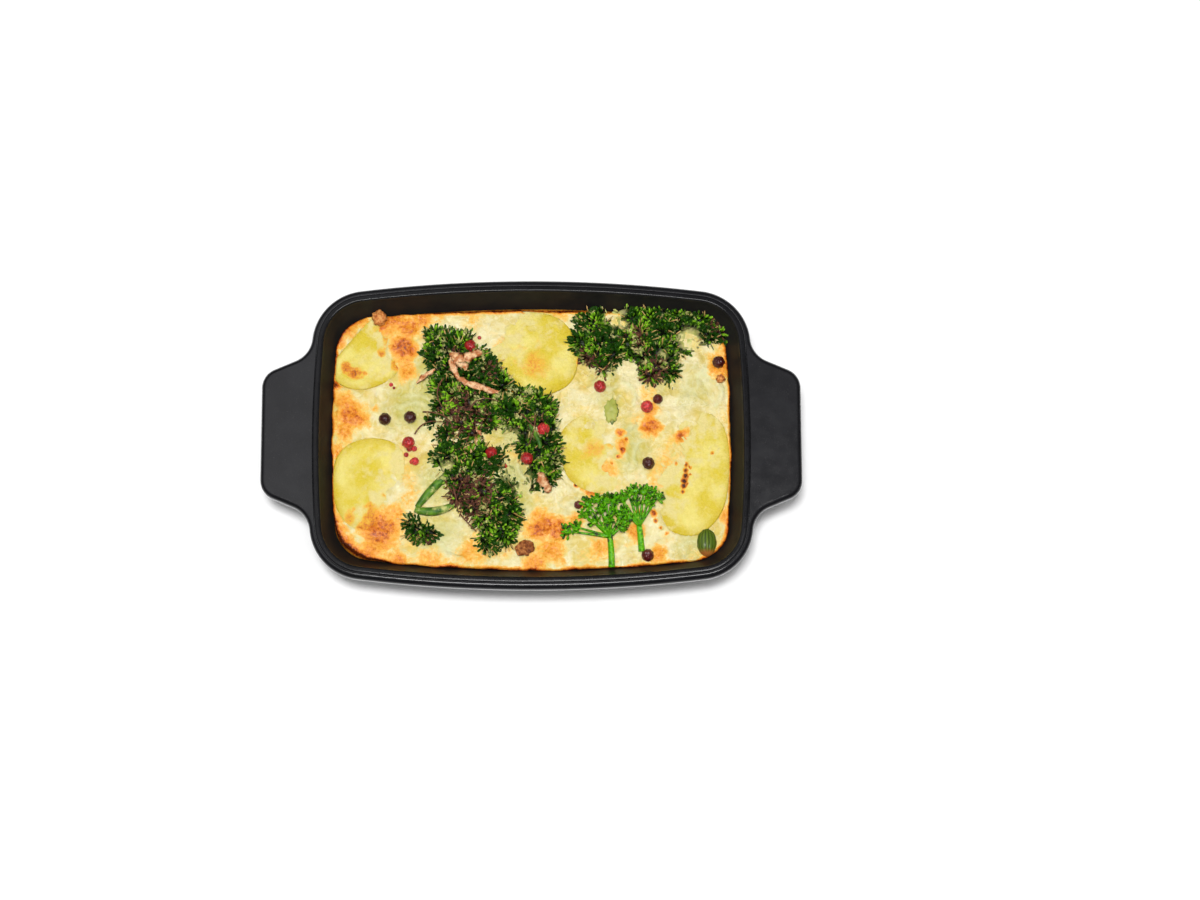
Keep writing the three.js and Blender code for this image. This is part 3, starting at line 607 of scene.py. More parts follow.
# Spots browned by the oven and spots tinted by the greens: place in shares, reach in mm and depth of colour.
BROWNED = [
    ((-0.90, 0.17), 8.5, 0.72), ((-0.95, 0.27), 5, 0.6), ((-0.93, 0.06), 6, 0.6),
    ((-0.74, -0.70), 9.5, 0.78), ((-0.80, -0.60), 6, 0.55), ((-0.68, -0.58), 5, 0.5),
    ((-0.64, 0.68), 7, 0.82), ((-0.62, 0.84), 7, 0.7), ((-0.72, 0.93), 9, 0.72), ((-0.55, 0.93), 7, 0.66),
    ((-0.62, 0.5), 5, 0.6), ((0.05, -0.68), 7.5, 0.78), ((0.12, -0.70), 6, 0.75), ((0.10, -0.84), 7, 0.6),
    ((0.30, -0.40), 3.5, 0.7), ((0.02, -0.94), 6, 0.6), ((0.45, -0.05), 3.5, 0.6),
    ((0.455, -0.095), 1.3, 1.0), ((0.47, -0.02), 1.1, 1.0), ((0.60, 0.08), 4.5, 0.8),
    ((0.60, 0.20), 3, 0.6), ((0.74, 0.01), 3.5, 0.8), ((0.44, 0.03), 2.5, 0.75), ((0.38, -0.25), 5, 0.45),
    ((0.52, -0.70), 5, 0.6), ((0.95, 0.55), 7, 0.6), ((-0.30, -0.84), 5, 0.5), ((0.22, -0.62), 5, 0.5),
    ((-0.80, -0.88), 7, 0.66), ((0.34, -0.82), 6, 0.5), ((0.62, -0.88), 5, 0.6), ((0.22, -0.36), 1.2, 1.0),
    ((0.24, -0.51), 1.6, 0.9), ((0.34, -0.17), 1.0, 0.9), ((0.40, -0.20), 0.8, 0.9),
    ((0.43, -0.15), 0.9, 1.0), ((0.53, -0.60), 3, 0.95), ((-0.98, -0.1), 5, 0.55), ((-0.5, -0.93), 6, 0.5),
    ((0.15, 0.95), 5, 0.4), ((-0.84, 0.97), 5, 0.7), ((-0.64, 0.98), 5, 0.75), ((-0.46, 0.98), 4, 0.7),
    ((-0.98, 0.40), 2.5, 1.0), ((-0.93, -0.80), 6, 0.7), ((-0.97, -0.62), 4, 0.6),
    ((0.605, -0.57), 1.4, 1.0), ((0.615, -0.63), 0.9, 1.0), ((0.64, -0.68), 0.7, 1.0),
    ((0.67, -0.72), 0.6, 1.0), ((0.98, -0.30), 3, 0.6), ((0.97, -0.6), 4, 0.55), ((-0.97, 0.72), 4, 0.6),
    ((-0.92, 0.82), 4.5, 0.62), ((-0.86, 0.91), 4.5, 0.66), ((-0.99, 0.56), 3, 0.6),
    ((-0.10, 0.385), 2.6, 1.0), ((-0.89, -0.88), 6, 0.72), ((-0.96, -0.72), 4, 0.7),
    ((-0.99, -0.45), 3, 0.6), ((-0.84, -0.94), 6, 0.8), ((-0.95, -0.90), 5, 0.85),
    ((-0.66, -0.95), 6, 0.7),
]
GREENED = [
    ((-0.60, 0.22), 10, 0.55), ((-0.49, 0.30), 10, 0.65), ((-0.52, 0.46), 8, 0.6), ((-0.10, 0.06), 9, 0.5),
    ((-0.08, -0.28), 8, 0.6), ((-0.45, -0.35), 10, 0.5), ((-0.45, -0.70), 9, 0.4), ((0.50, 0.05), 6, 0.35),
    ((0.50, -0.12), 7, 0.5), ((0.82, 0.38), 9, 0.3), ((0.62, 0.42), 7, 0.3), ((-0.06, -0.50), 6, 0.5),
    ((0.36, 0.45), 7, 0.4), ((0.40, 0.28), 6, 0.35), ((0.80, -0.82), 7, 0.45), ((0.25, -0.55), 6, 0.3),
]
# Strips of onion under the top: middle in shares, radius in mm, from and to bearing in degrees, width in mm.
ONIONS = [
    ((-0.585, 0.13), 8, 40, 150, 2.6), ((-0.585, 0.13), 11.5, 20, 120, 2.2), ((-0.50, 0.34), 9, 60, 200, 2.4),
    ((-0.10, -0.30), 7, 150, 300, 2.6), ((0.02, -0.20), 8, 170, 260, 2.2), ((0.55, -0.05), 9, 100, 230, 2.8),
    ((0.62, -0.15), 10, 120, 200, 2.4), ((0.86, 0.34), 8, -60, 120, 3.2), ((0.90, 0.42), 6, 60, 200, 2.6),
    ((0.44, 0.30), 7, -40, 90, 2.4), ((0.38, 0.46), 6, 190, 330, 2.6), ((0.86, -0.78), 8, 70, 170, 2.4),
    ((-0.36, -0.72), 9, 200, 300, 2.2), ((0.30, -0.68), 8, 20, 140, 2.2),
]


def onion_ridges(points):
    """How much each point is on a strip of onion under the custard, each strip a piece of a ring."""
    found = np.zeros(len(points))
    for at, radius, start, end, width in ONIONS:
        offset = points[:, :2] - place(*at)
        bearing = (np.degrees(np.arctan2(offset[:, 1], offset[:, 0])) - start) % 360
        off_line = np.abs(np.hypot(*offset.T) / MM - radius)
        inside = np.clip(np.minimum(bearing, end - start - bearing) / 12, 0, 1) * (bearing < end - start)
        found = np.maximum(found, np.clip(1 - 2 * off_line / width, 0, 1) ** 0.5 * inside)
    return found


def custard_material():
    material, tree, shader = new_material("baked custard")
    mottle = ranged(tree, noise_at(tree, 90, 4.0), 0.38, 0.66)
    cream = mixed(tree, mottle, srgb(229, 217, 164), srgb(219, 195, 100))
    flecks = noise_at(tree, 190, 4.0, 0.55)
    curdled = mixed(tree, ranged(tree, flecks, 0.48, 0.7, 0.0, 0.5), cream, srgb(242, 234, 190))
    soaked = mixed(tree, ranged(tree, flecks, 0.3, 0.5, 0.5, 0.0), curdled, srgb(206, 182, 88))
    # The pale lines along the folds of the custard's skin are a painted highlight on its wrinkles.
    folds = maths(tree, "ABSOLUTE", maths(tree, "SUBTRACT", noise_at(tree, 170, 4.0), 0.5), 0.0)
    crease = ranged(tree, folds, 0.0, 0.045, 1.0, 0.0)
    wrinkled = mixed(tree, times(tree, crease, 0.25), soaked, srgb(250, 244, 214))
    leafy = mixed(tree, attribute(tree, "green"), wrinkled, srgb(170, 174, 78))
    onion = mixed(tree, times(tree, attribute(tree, "onion"), 0.6), leafy, srgb(218, 216, 164))
    grain = noise_at(tree, 650, 5.0, 0.72)
    depth = attribute(tree, "brown")
    toast = times(tree, maths(tree, "SUBTRACT", grain, 0.5), 1.1)
    browning = plus(tree, depth, times(tree, toast, ranged(tree, depth, 0.02, 0.4)))
    browned = ramp(tree, browning, [
        (0.0, srgb(236, 212, 120)), (0.32, srgb(242, 192, 86)), (0.62, srgb(236, 154, 46)),
        (0.84, srgb(200, 96, 26)), (1.0, srgb(84, 32, 10)),
    ])
    rough = plus(tree, times(tree, grain, 0.3), noise_at(tree, 200, 2.0))
    lumps = plus(tree, rough, times(tree, crease, 0.12))
    set_inputs(tree, shader, {
        "Base Color": mixed(tree, ranged(tree, browning, 0.06, 0.42), onion, browned),
        "Roughness": ranged(tree, noise_at(tree, 260, 3.0), 0.3, 0.7, 0.1, 0.3),
        "Specular IOR Level": 0.5,
        "Subsurface Weight": 0.2,
        "Subsurface Radius": (1.0, 0.7, 0.35),
        "Subsurface Scale": 1.5 * MM,
        "Normal": bump(tree, lumps, 1.0 * MM, 0.85),
    })
    return material


def near_corner(xy, reach):
    """How near places in plan are to the corner that is baked hardest."""
    return np.clip(1 - np.hypot(*(xy - place(*CHARRED_CORNER)).T) / reach, 0, 1)


def custard_lip(wall):
    """The edge of the top, shrunk from the wall, most of all along the back and in the charred corner."""
    at_back = np.clip((wall[:, 1] / FILL["half_width"] - 0.75) / 0.2, 0, 1)
    at_back *= np.clip((wall[:, 0] / FILL["half_length"] + 0.85) / 0.3, 0, 1)
    edge = np.column_stack([wall, np.full(len(wall), FILL_Z)])
    uneven = (0.35 + 0.6 * fractal(edge, 9 * MM, 1, 3)).clip(0.05, 1.3)
    shrink = (uneven + 1.6 * at_back + 2.4 * near_corner(wall, CORNER_SHRINK_REACH)) * MM
    return wall * (1 - shrink / np.linalg.norm(wall, axis=1))[:, None]


def toasting(flat, from_wall):
    """How brown each point of the top is: in spots, in faint patches and in the crust at the wall."""
    in_corner = near_corner(flat[:, :2], CORNER_CRUST_REACH)
    crust_width = (1.9 + 3.0 * in_corner + 1.5 * fractal(flat, 7 * MM, 4, 3)) * MM
    crust = np.clip(1 - from_wall / crust_width, 0, 1)
    on_left = np.clip(-flat[:, 0] / FILL["half_length"] - 0.5, 0, 0.5)
    charred = 0.92 + 0.4 * fractal(flat, 14 * MM, 8, 3) + 0.35 * on_left + 0.3 * in_corner
    toasted = np.maximum(spots(flat, BROWNED, 2, 0.5), charred.clip(0.6, 1.2) * crust**0.7)
    return np.maximum(toasted, 0.42 * np.clip(fractal(flat, 16 * MM, 9, 4) + 0.05, 0, 1))


def build_custard():
    shares = np.linspace(0, 1, CUSTARD_AROUND + 1)
    wall = ring_of(outline_at(FILL, shares))
    around = len(wall)
    side = []
    for share in np.linspace(0, 1, CUSTARD_SIDE):
        z = FLOOR_Z + CUSTARD_GAP + share * (FILL_Z - FLOOR_Z - CUSTARD_SLACK)
        ring = ring_of(outline_at(grown(cavity(z), -1.5 * CUSTARD_GAP), shares))
        side.append(np.column_stack([ring, np.full(around, z)]))
    lip = custard_lip(wall)
    inset = np.repeat(1 - (np.arange(CUSTARD_RINGS) / CUSTARD_RINGS) ** 1.15, around)
    flat = np.column_stack([np.tile(lip, (CUSTARD_RINGS, 1)) * inset[:, None], np.zeros(len(inset))])
    from_wall = (1 - inset) * np.tile(np.linalg.norm(lip, axis=1), CUSTARD_RINGS)
    toasted = toasting(flat, from_wall)
    onion = onion_ridges(flat)
    sunk, cleared = np.zeros(len(flat)), np.zeros(len(flat))
    for shape in SLICES.values():
        lift, out = slice_lift(shape, flat[:, :2])
        lapped = lift + 0.45 * MM * fractal(flat, 6 * MM, 14, 4)
        sunk = np.maximum(sunk, np.clip((lapped + 0.25 * MM) / (0.5 * MM), 0, 1) * (out < 0.985))
        cleared = np.maximum(cleared, np.clip((1.15 - out) / 0.15, 0, 1))
    lumps = LUMP_HEIGHTS[0] * fractal(flat, 13 * MM, 5, 3) + LUMP_HEIGHTS[1] * fractal(flat, 4 * MM, 6, 4)
    puffed = toasted * (0.45 + 0.6 * fractal(flat, 2.2 * MM, 7, 3)) + ONION_HEIGHT * onion
    lumpy = lumps * (1 - 0.7 * cleared) + puffed - SLICE_HOLLOW * sunk
    shoulder = np.clip(1 - from_wall / SHOULDER_WIDTH, 0, 1)
    flat[:, 2] = custard_top(*flat[:, :2].T) + MM * lumpy - SHOULDER_DROP * shoulder**2
    middle = np.array([[0, 0, FLOOR_Z + CUSTARD_GAP], [0, 0, flat[-around:, 2].mean()]])
    below = np.zeros(CUSTARD_SIDE * around)
    made = add_mesh(
        "baked_custard", np.concatenate(side + [flat, middle]),
        loft_faces(CUSTARD_SIDE + CUSTARD_RINGS, around), custard_material(),
        brown=np.concatenate([below + 0.5, toasted, [0.5, 0]]),
        green=np.concatenate([below, spots(flat, GREENED, 3), [0, 0]]),
        onion=np.concatenate([below, onion, [0, 0]]),
    )
    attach(made, "gratin")
    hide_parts("gratin_custard")


build_custard()

# Broccoli heads
# Roasted sprouting broccoli: each head is a heap of tufts, and each tuft a fan of soft green strands that end
# in dark blunt buds. Some strands are scorched brown and purple, some buds tan, and cheese clings to a few.
# The roots of the strands, the sheet under them, the gaps between tufts and the low parts by the custard are
# painted dark as shade.
SKIN_CELL = 0.7 * MM
SKIN_SINK = 1.2 * MM
SKIN_INSET = 4 * MM
SKIN_BORDER = 2 * MM
SKIN_LUMPS = 0.5 * MM
BURIED_DEPTH = 0.2 * MM
TUFT = 5.5 * MM
TUFT_GAP = 0.4
LOW_TUFT_SINK = 0.4 * MM
CHEESE_DENT = 2.2 * MM
TWIG_STEPS = 16
THIN_SIDES = 8
# In mm: the skin's depth in the custard, the rise of a tuft and the cut beside it, and a twig's end radii.
SKIN_DEPTH = 2.5
TUFT_RISE = 0.5
TUFT_CUT = 1.6
TWIG_RADII = (0.38, 0.2)
# How much strands turn away from the root, down the slope, away from the middle of their tuft, and upwards.
FAN_OUT, DOWNHILL, TUFT_SPREAD, UPWARDS = 0.35, 0.5, 1.5, 0.45
LOW_TUFTS = [
    # loose tufts between the heads: place in shares, reach and height in mm
    (-0.42, 0.01, 4.5, 3.0), (-0.36, -0.09, 4.0, 2.6), (-0.27, -0.13, 4.5, 3.0), (-0.18, -0.18, 4.5, 3.0),
    (-0.10, -0.23, 3.6, 2.4), (-0.05, -0.34, 3.6, 2.4), (-0.01, -0.40, 3.2, 2.2), (-0.13, -0.35, 4.2, 2.8),
    (-0.03, 0.16, 4.0, 2.6), (-0.15, 0.22, 4.5, 3.0), (-0.55, 0.02, 2.6, 1.6), (-0.50, 0.12, 2.6, 1.6),
    (-0.21, 0.13, 4.5, 3.0), (-0.12, 0.11, 4.0, 2.6), (-0.30, 0.04, 4.0, 2.6), (-0.41, -0.07, 4.0, 2.6),
]
TWIGS = {
    # dry strands: places in shares with the height above the custard in mm
    "centre_1": [[(-0.436, 0.43, 5.4), (-0.466, 0.31, 6.2), (-0.426, 0.18, 6.0)]],
    "centre_3": [[(-0.54, 0.19, 1.0), (-0.43, 0.14, 5.8), (-0.385, 0.03, 5.0)],
                 [(-0.58, 0.02, 0.8), (-0.527, 0.10, 2.4), (-0.44, 0.10, 5.4)],
                 [(-0.30, 0.20, 6.0), (-0.25, 0.27, 6.4), (-0.16, 0.25, 6.2)]],
    "centre_4": [[(-0.05, 0.16, 4.6), (0.00, 0.08, 5.8), (0.034, 0.03, 5.6)],
                 [(0.02, 0.16, 5.2), (0.01, 0.02, 6.2), (-0.02, -0.09, 5.0)]],
    "centre_5": [[(-0.385, -0.39, 6.0), (-0.37, -0.48, 6.2), (-0.36, -0.58, 4.2)],
                 [(-0.35, -0.59, 4.6), (-0.31, -0.66, 5.4), (-0.27, -0.72, 5.0)],
                 [(-0.28, -0.35, 6.0), (-0.20, -0.42, 6.4), (-0.22, -0.52, 6.0)]],
}
HEADS = {
    # the place that the strands fan out from, and spots that the oven has scorched
    "back_right_1": {"root": (0.55, 0.50), "scorched": [((0.28, 0.56), 5, 0.9), ((0.36, 0.45), 5, 0.9)]},
    "back_right_2": {"root": (0.59, 0.45), "scorched": [((0.52, 0.75), 4, 0.6), ((0.60, 0.50), 6, 0.7)]},
    "back_right_3": {"root": (0.66, 0.55), "scorched": [((0.95, 0.85), 5, 0.8)]},
    "centre_1": {"root": (-0.40, 0.45), "scorched": [((-0.38, 0.62), 3, 0.4)]},
    "centre_2": {"root": (-0.32, 0.40), "scorched": [((-0.22, 0.48), 4, 0.6)]},
    "centre_3": {"root": (-0.20, 0.12), "scorched": [((-0.36, 0.17), 8, 1.0), ((-0.28, 0.10), 7, 0.9)]},
    "centre_4": {"root": (0.03, -0.06), "scorched": [((0.02, 0.08), 4, 0.4)]},
    "centre_5": {"root": (-0.45, -0.42), "scorched": [((-0.31, -0.42), 8, 1.0), ((-0.27, -0.50), 8, 0.9)]},
    "centre_6": {"root": (-0.30, -0.50), "scorched": [((-0.25, -0.52), 5, 0.7)]},
    "front_left": {"root": (-0.50, -0.62), "scorched": [((-0.5, -0.75), 3, 0.4)]},
}
STRANDS = [
    # length, bud width and spacing in mm, scatter, and tone: fans of strands, frilled buds, then dry threads
    (3.1, 1.05, 0.8, 0.4, 0.01), (2.7, 1.4, 1.35, 0.8, 0.1), (4.4, 0.55, 1.6, 0.9, 1.0),
]
CHEESE = [
    ((-0.12, -0.01), 5.5, 1.0), ((-0.07, -0.26), 6, 1.0), ((0.42, 0.92), 5, 1.0), ((0.46, 0.85), 3, 0.9),
    ((0.79, 0.75), 5, 1.0), ((0.48, 0.50), 5, 0.9), ((0.02, 0.02), 3, 0.7), ((-0.20, -0.30), 3, 0.7),
    ((-0.42, -0.22), 3, 0.8), ((-0.05, -0.38), 4, 0.8), ((-0.28, 0.26), 2.5, 0.7), ((0.66, 0.62), 2.5, 0.7),
]


def new_tree(name, sizes):
    """A geometry node tree that takes a mesh, the sizes named and a material, and its sockets for them."""
    tree = bpy.data.node_groups.new(name, "GeometryNodeTree")
    for label, kind in (("Geometry", "Geometry"), *sizes, ("Material", "Material")):
        tree.interface.new_socket(label, in_out="INPUT", socket_type=f"NodeSocket{kind}")
    tree.interface.new_socket("Geometry", in_out="OUTPUT", socket_type="NodeSocketGeometry")
    return tree, add_node(tree, "NodeGroupInput").outputs


def named(tree, name, kind="FLOAT"):
    return add_node(tree, "GeometryNodeInputNamedAttribute", {"Name": name}, data_type=kind)


def stored(tree, geometry, name, value, domain="POINT", selection=True):
    """Geometry whose points or instances carry a value under a name."""
    inputs = {"Geometry": geometry, "Name": name, "Value": value, "Selection": selection}
    return add_node(tree, "GeometryNodeStoreNamedAttribute", inputs, data_type="FLOAT", domain=domain)


def vector_maths(tree, operation, inputs):
    return add_node(tree, "ShaderNodeVectorMath", inputs, operation=operation)


def drawn(tree, low, high, seed):
    """A number drawn for each point between two limits."""
    return add_node(tree, "FunctionNodeRandomValue", {2: low, 3: high, "Seed": seed}, data_type="FLOAT")


def drawn_vector(tree, low, high, seed):
    inputs = {0: low, 1: high, "Seed": seed}
    return add_node(tree, "FunctionNodeRandomValue", inputs, data_type="FLOAT_VECTOR")


def finish_tree(tree, geometry, material):
    """Ends a tree with the geometry shaded smooth in the material."""
    smooth = add_node(tree, "GeometryNodeSetShadeSmooth", {"Geometry": geometry})
    painted = add_node(tree, "GeometryNodeSetMaterial", {"Geometry": smooth, "Material": material})
    add_node(tree, "NodeGroupOutput", {"Geometry": painted})
    return tree


def bud_tree():
    """Covers a mesh with club-shaped strands that lie along its flow attribute and end in a bud. Strands grow
    only where the mesh has cover, and have none themselves, so that a second run leaves them bare."""
    labels = ("Strand length", "Bud width", "Spacing", "Scatter", "Tone")
    tree, given = new_tree("bud cover", [(label, "Float") for label in labels] + [("Seed", "Int")])
    seed = given["Seed"]
    ball = add_node(tree, "GeometryNodeMeshUVSphere", {"Segments": 6, "Rings": 6, "Radius": 0.5})
    lifted = add_node(tree, "GeometryNodeTransform", {"Geometry": ball, "Translation": (0, 0, 0.5)})
    spot = add_node(tree, "GeometryNodeInputPosition")
    along = add_node(tree, "ShaderNodeSeparateXYZ", {"Vector": spot}).outputs["Z"]
    limits = {"Value": along, "From Max": 0.75, "To Min": 0.35, "To Max": 1.0}
    slim = add_node(tree, "ShaderNodeMapRange", limits)
    thinner = add_node(tree, "ShaderNodeCombineXYZ", {"X": slim, "Y": slim, "Z": 1.0})
    narrowed = vector_maths(tree, "MULTIPLY", {0: spot, 1: thinner})
    club = add_node(tree, "GeometryNodeSetPosition", {"Geometry": lifted, "Position": narrowed})
    marked = stored(tree, club, "along", along)
    scattered = add_node(tree, "GeometryNodeDistributePointsOnFaces", {
        "Mesh": given["Geometry"], "Distance Min": given["Spacing"], "Density Max": 6e6,
        "Density Factor": named(tree, "cover"), "Seed": seed,
    }, distribute_method="POISSON")
    stray = drawn_vector(tree, (-1, -1, -0.6), (1, 1, 1), seed)
    strayed = vector_maths(tree, "SCALE", {0: stray, "Scale": given["Scatter"]})
    aimed = vector_maths(tree, "ADD", {0: named(tree, "flow", "FLOAT_VECTOR"), 1: strayed})
    turned = add_node(tree, "FunctionNodeAlignRotationToVector", {"Vector": aimed}, axis="Z")
    width = given["Bud width"]
    size = add_node(tree, "ShaderNodeCombineXYZ", {"X": width, "Y": width, "Z": given["Strand length"]})
    sized = vector_maths(tree, "SCALE", {0: size, "Scale": drawn(tree, 0.55, 1.3, seed)})
    strands = add_node(tree, "GeometryNodeInstanceOnPoints", {
        "Points": scattered, "Instance": marked, "Rotation": turned, "Scale": sized,
    })
    shaded = stored(tree, strands, "shade", drawn(tree, 0.0, 1.0, 5), "INSTANCE")
    toned = stored(tree, shaded, "tone", given["Tone"], "INSTANCE")
    both = add_node(tree, "GeometryNodeJoinGeometry", {"Geometry": given["Geometry"]})
    set_inputs(tree, both, {"Geometry": toned})
    whole = add_node(tree, "GeometryNodeRealizeInstances", {"Geometry": both})
    strand = add_node(tree, "FunctionNodeCompare", {0: named(tree, "tone"), 1: 0.0}, operation="GREATER_THAN")
    return finish_tree(tree, stored(tree, whole, "cover", 0.0, selection=strand), given["Material"])


def grow_nodes(made, tree, **values):
    """Runs a geometry node tree on an object, with its inputs set by name, and keeps the plain mesh."""
    modifier = made.modifiers.new(tree.name, "NODES")
    modifier.node_group = tree
    for item in tree.interface.items_tree:
        if item.in_out == "INPUT" and item.name in values:
            modifier[item.identifier] = values[item.name]
    graph = bpy.context.evaluated_depsgraph_get()
    grown_mesh = bpy.data.meshes.new_from_object(
        made.evaluated_get(graph), preserve_all_data_layers=True, depsgraph=graph
    )
    made.modifiers.clear()
    made.data = grown_mesh


def broccoli_material():
    material, tree, shader = new_material("roasted broccoli")
    along, shade, roast, tone = (attribute(tree, name) for name in ("along", "shade", "scorched", "tone"))
    # Where along is low, at the roots of the strands and on the sheet under them, both ramps run near black
    # and grow lighter towards the tips: painted shade deep in the tufts.
    dark = ramp(tree, along, [
        (0.0, srgb(6, 12, 2)), (0.45, srgb(24, 58, 6)), (0.95, srgb(30, 70, 8)),
    ])
    bright = ramp(tree, along, [
        (0.0, srgb(24, 46, 4)), (0.5, srgb(112, 170, 22)), (0.95, srgb(146, 200, 46)),
    ])
    burnt = ramp(tree, along, [
        (0.0, srgb(30, 16, 8)), (0.5, srgb(118, 78, 56)), (0.9, srgb(84, 50, 44)),
    ])
    tan = mixed(tree, along, srgb(132, 96, 36), srgb(218, 178, 112))
    patchy = ranged(tree, noise_at(tree, 150, 4.0), 0.4, 0.6, -0.42, 0.62)
    chance = times(tree, maths(tree, "SUBTRACT", shade, 0.35), 1.1)
    lift = plus(tree, plus(tree, patchy, chance), times(tree, tone, 0.2))
    # Painted shade: darker in the gaps between tufts and low down by the custard.
    shaded = maths(tree, "SUBTRACT", lift, times(tree, attribute(tree, "margin"), 0.7))
    lush = mixed(tree, ranged(tree, shaded, 0.0, 1.0), dark, bright)
    is_burnt = maths(tree, "LESS_THAN", shade, times(tree, roast, 0.75))
    is_tan = maths(tree, "GREATER_THAN", shade, ranged(tree, tone, 0.1, 1.0, 1.1, 0.5))
    coloured = mixed(tree, is_tan, mixed(tree, is_burnt, lush, burnt), tan)
    curds = ranged(tree, noise_at(tree, 400, 3.0), 0.3, 0.7)
    cheese = mixed(tree, curds, srgb(222, 212, 146), srgb(172, 178, 90))
    dabs = ranged(tree, noise_at(tree, 190, 3.0), 0.57, 0.66, 0.0, 0.8)
    on_tips = times(tree, dabs, ranged(tree, along, 0.2, 0.6))
    coated = maths(tree, "MAXIMUM", attribute(tree, "cheese"), on_tips)
    set_inputs(tree, shader, {
        "Base Color": mixed(tree, coated, coloured, cheese),
        "Roughness": 0.3,
        "Specular IOR Level": 0.3,
        "Normal": bump(tree, noise_at(tree, 2400, 2.0), 0.2 * MM, 0.5),
    })
    return material


def head_skin(node):
    """A closed sheet that follows the top of a CAD head, with loose tufts beside it: its points and faces,
    where it shows, its slope, and the painted shade that darkens it near the custard."""
    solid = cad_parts[node].data
    above = BVHTree.FromPolygons([v.co for v in solid.vertices], [p.vertices for p in solid.polygons])
    low, high = (np.array(corner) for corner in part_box(node))
    xs, ys = (np.arange(low[k] - SKIN_BORDER, high[k] + SKIN_BORDER, SKIN_CELL) for k in (0, 1))
    gx, gy = np.meshgrid(xs, ys, indexing="ij")
    surface = custard_top(gx, gy)
    height = surface - SKIN_DEPTH * MM
    for i, x in enumerate(xs):
        for j, y in enumerate(ys):
            hit = above.ray_cast(Vector((x, y, high[2] + MM)), Vector((0, 0, -1)))[0]
            if hit is not None:
                height[i, j] = max(height[i, j], hit.z - SKIN_SINK)
    for u, v, reach, rise in LOW_TUFTS:
        middle = place(u, v)
        round_top = 1 - ((gx - middle[0]) ** 2 + (gy - middle[1]) ** 2) / (reach * MM) ** 2
        bulge = rise * np.sqrt(np.maximum(round_top, 0)) - SKIN_DEPTH * (round_top <= 0)
        height = np.maximum(height, surface + bulge * MM - LOW_TUFT_SINK)
    for _ in range(2):
        padded = np.pad(height, 1, mode="edge")
        beside = padded[:-2, 1:-1] + padded[2:, 1:-1] + padded[1:-1, :-2] + padded[1:-1, 2:]
        height = (beside + 2 * height) / 6
    slope = np.stack(np.gradient(height, SKIN_CELL), axis=2)
    points = np.column_stack([gx.ravel(), gy.ravel(), height.ravel()])
    points[:, 2] += SKIN_LUMPS * fractal(points, 3 * MM, 60, 3)
    buried = (height <= surface - BURIED_DEPTH).ravel()
    points[buried, :2] = kept_in(points[buried, :2], SKIN_INSET)
    wide, deep = len(xs), len(ys)
    index = np.arange(wide * deep).reshape(wide, deep)
    quads = np.stack([index[:-1, :-1], index[1:, :-1], index[1:, 1:], index[:-1, 1:]], axis=2).reshape(-1, 4)
    border = np.concatenate([index[:-1, 0], index[-1, :-1], index[:0:-1, -1], index[0, :0:-1]])
    under = wide * deep
    fan = [(under, int(b), int(a)) for a, b in zip(border, np.roll(border, -1))]
    points = np.concatenate([points, [[points[:, 0].mean(), points[:, 1].mean(), points[:, 2].min() - MM]]])
    shown = np.append(~buried, False)
    slope = np.concatenate([-slope.reshape(-1, 2), [[0, 0]]])
    # Painted shade: the sheet is darker the nearer it lies to the custard.
    margin = np.append(np.clip(1 - (height - surface) / (3 * MM), 0, 1).ravel(), 1)
    return points, quads.tolist() + fan, shown, slope, margin


def tufts(points):
    """Which way each point lies from the middle of its tuft, in tufts, and how near it is to a gap."""
    ways, gaps = [], []
    for x, y in points[:, :2] / TUFT:
        distances, middles = noise.voronoi(Vector((x, y, 0)))
        ways.append((x - middles[0][0], y - middles[0][1]))
        gaps.append(1 - (distances[1] - distances[0]) / TUFT_GAP)
    return np.array(ways), np.clip(gaps, 0, 1)


def above_custard(u, v, height):
    """A point over the custard: its place in shares and its height above the top in mm."""
    xy = place(u, v)
    return np.append(xy, custard_top(*xy) + height * MM)


def tube(path, radii, sides=14):
    """Points and faces of a round tube through the points of a path, closed by flat ends."""
    path = np.asarray(path)
    along = np.gradient(path, axis=0)
    along /= np.linalg.norm(along, axis=1)[:, None]
    side = np.cross(along, [0, 0, 1])
    side /= np.linalg.norm(side, axis=1)[:, None]
    up = np.cross(side, along)
    angles = np.linspace(0, 2 * math.pi, sides, endpoint=False)
    rings = [p + r * (np.outer(np.cos(angles), s) + np.outer(np.sin(angles), u))
             for p, r, s, u in zip(path, radii, side, up)]
    rings = [ring[::-1] for ring in rings]
    return np.concatenate(rings + [path[:1], path[-1:]]), loft_faces(len(rings), sides)


def smooth_path(through, steps=24):
    """A smooth curve through three points in space."""
    a, b, c = (np.asarray(p, dtype=float) for p in through)
    control = 2 * b - (a + c) / 2
    t = np.linspace(0, 1, steps)[:, None]
    return (1 - t) ** 2 * a + 2 * t * (1 - t) * control + t**2 * c


def joined(parts):
    """Points and faces of several meshes as one."""
    points, faces, start = [], [], 0
    for part_points, part_faces in parts:
        points.append(part_points)
        faces += [[index + start for index in face] for face in part_faces]
        start += len(part_points)
    return np.concatenate(points), faces


BUD_TREE = bud_tree()
broccoli_green = broccoli_material()


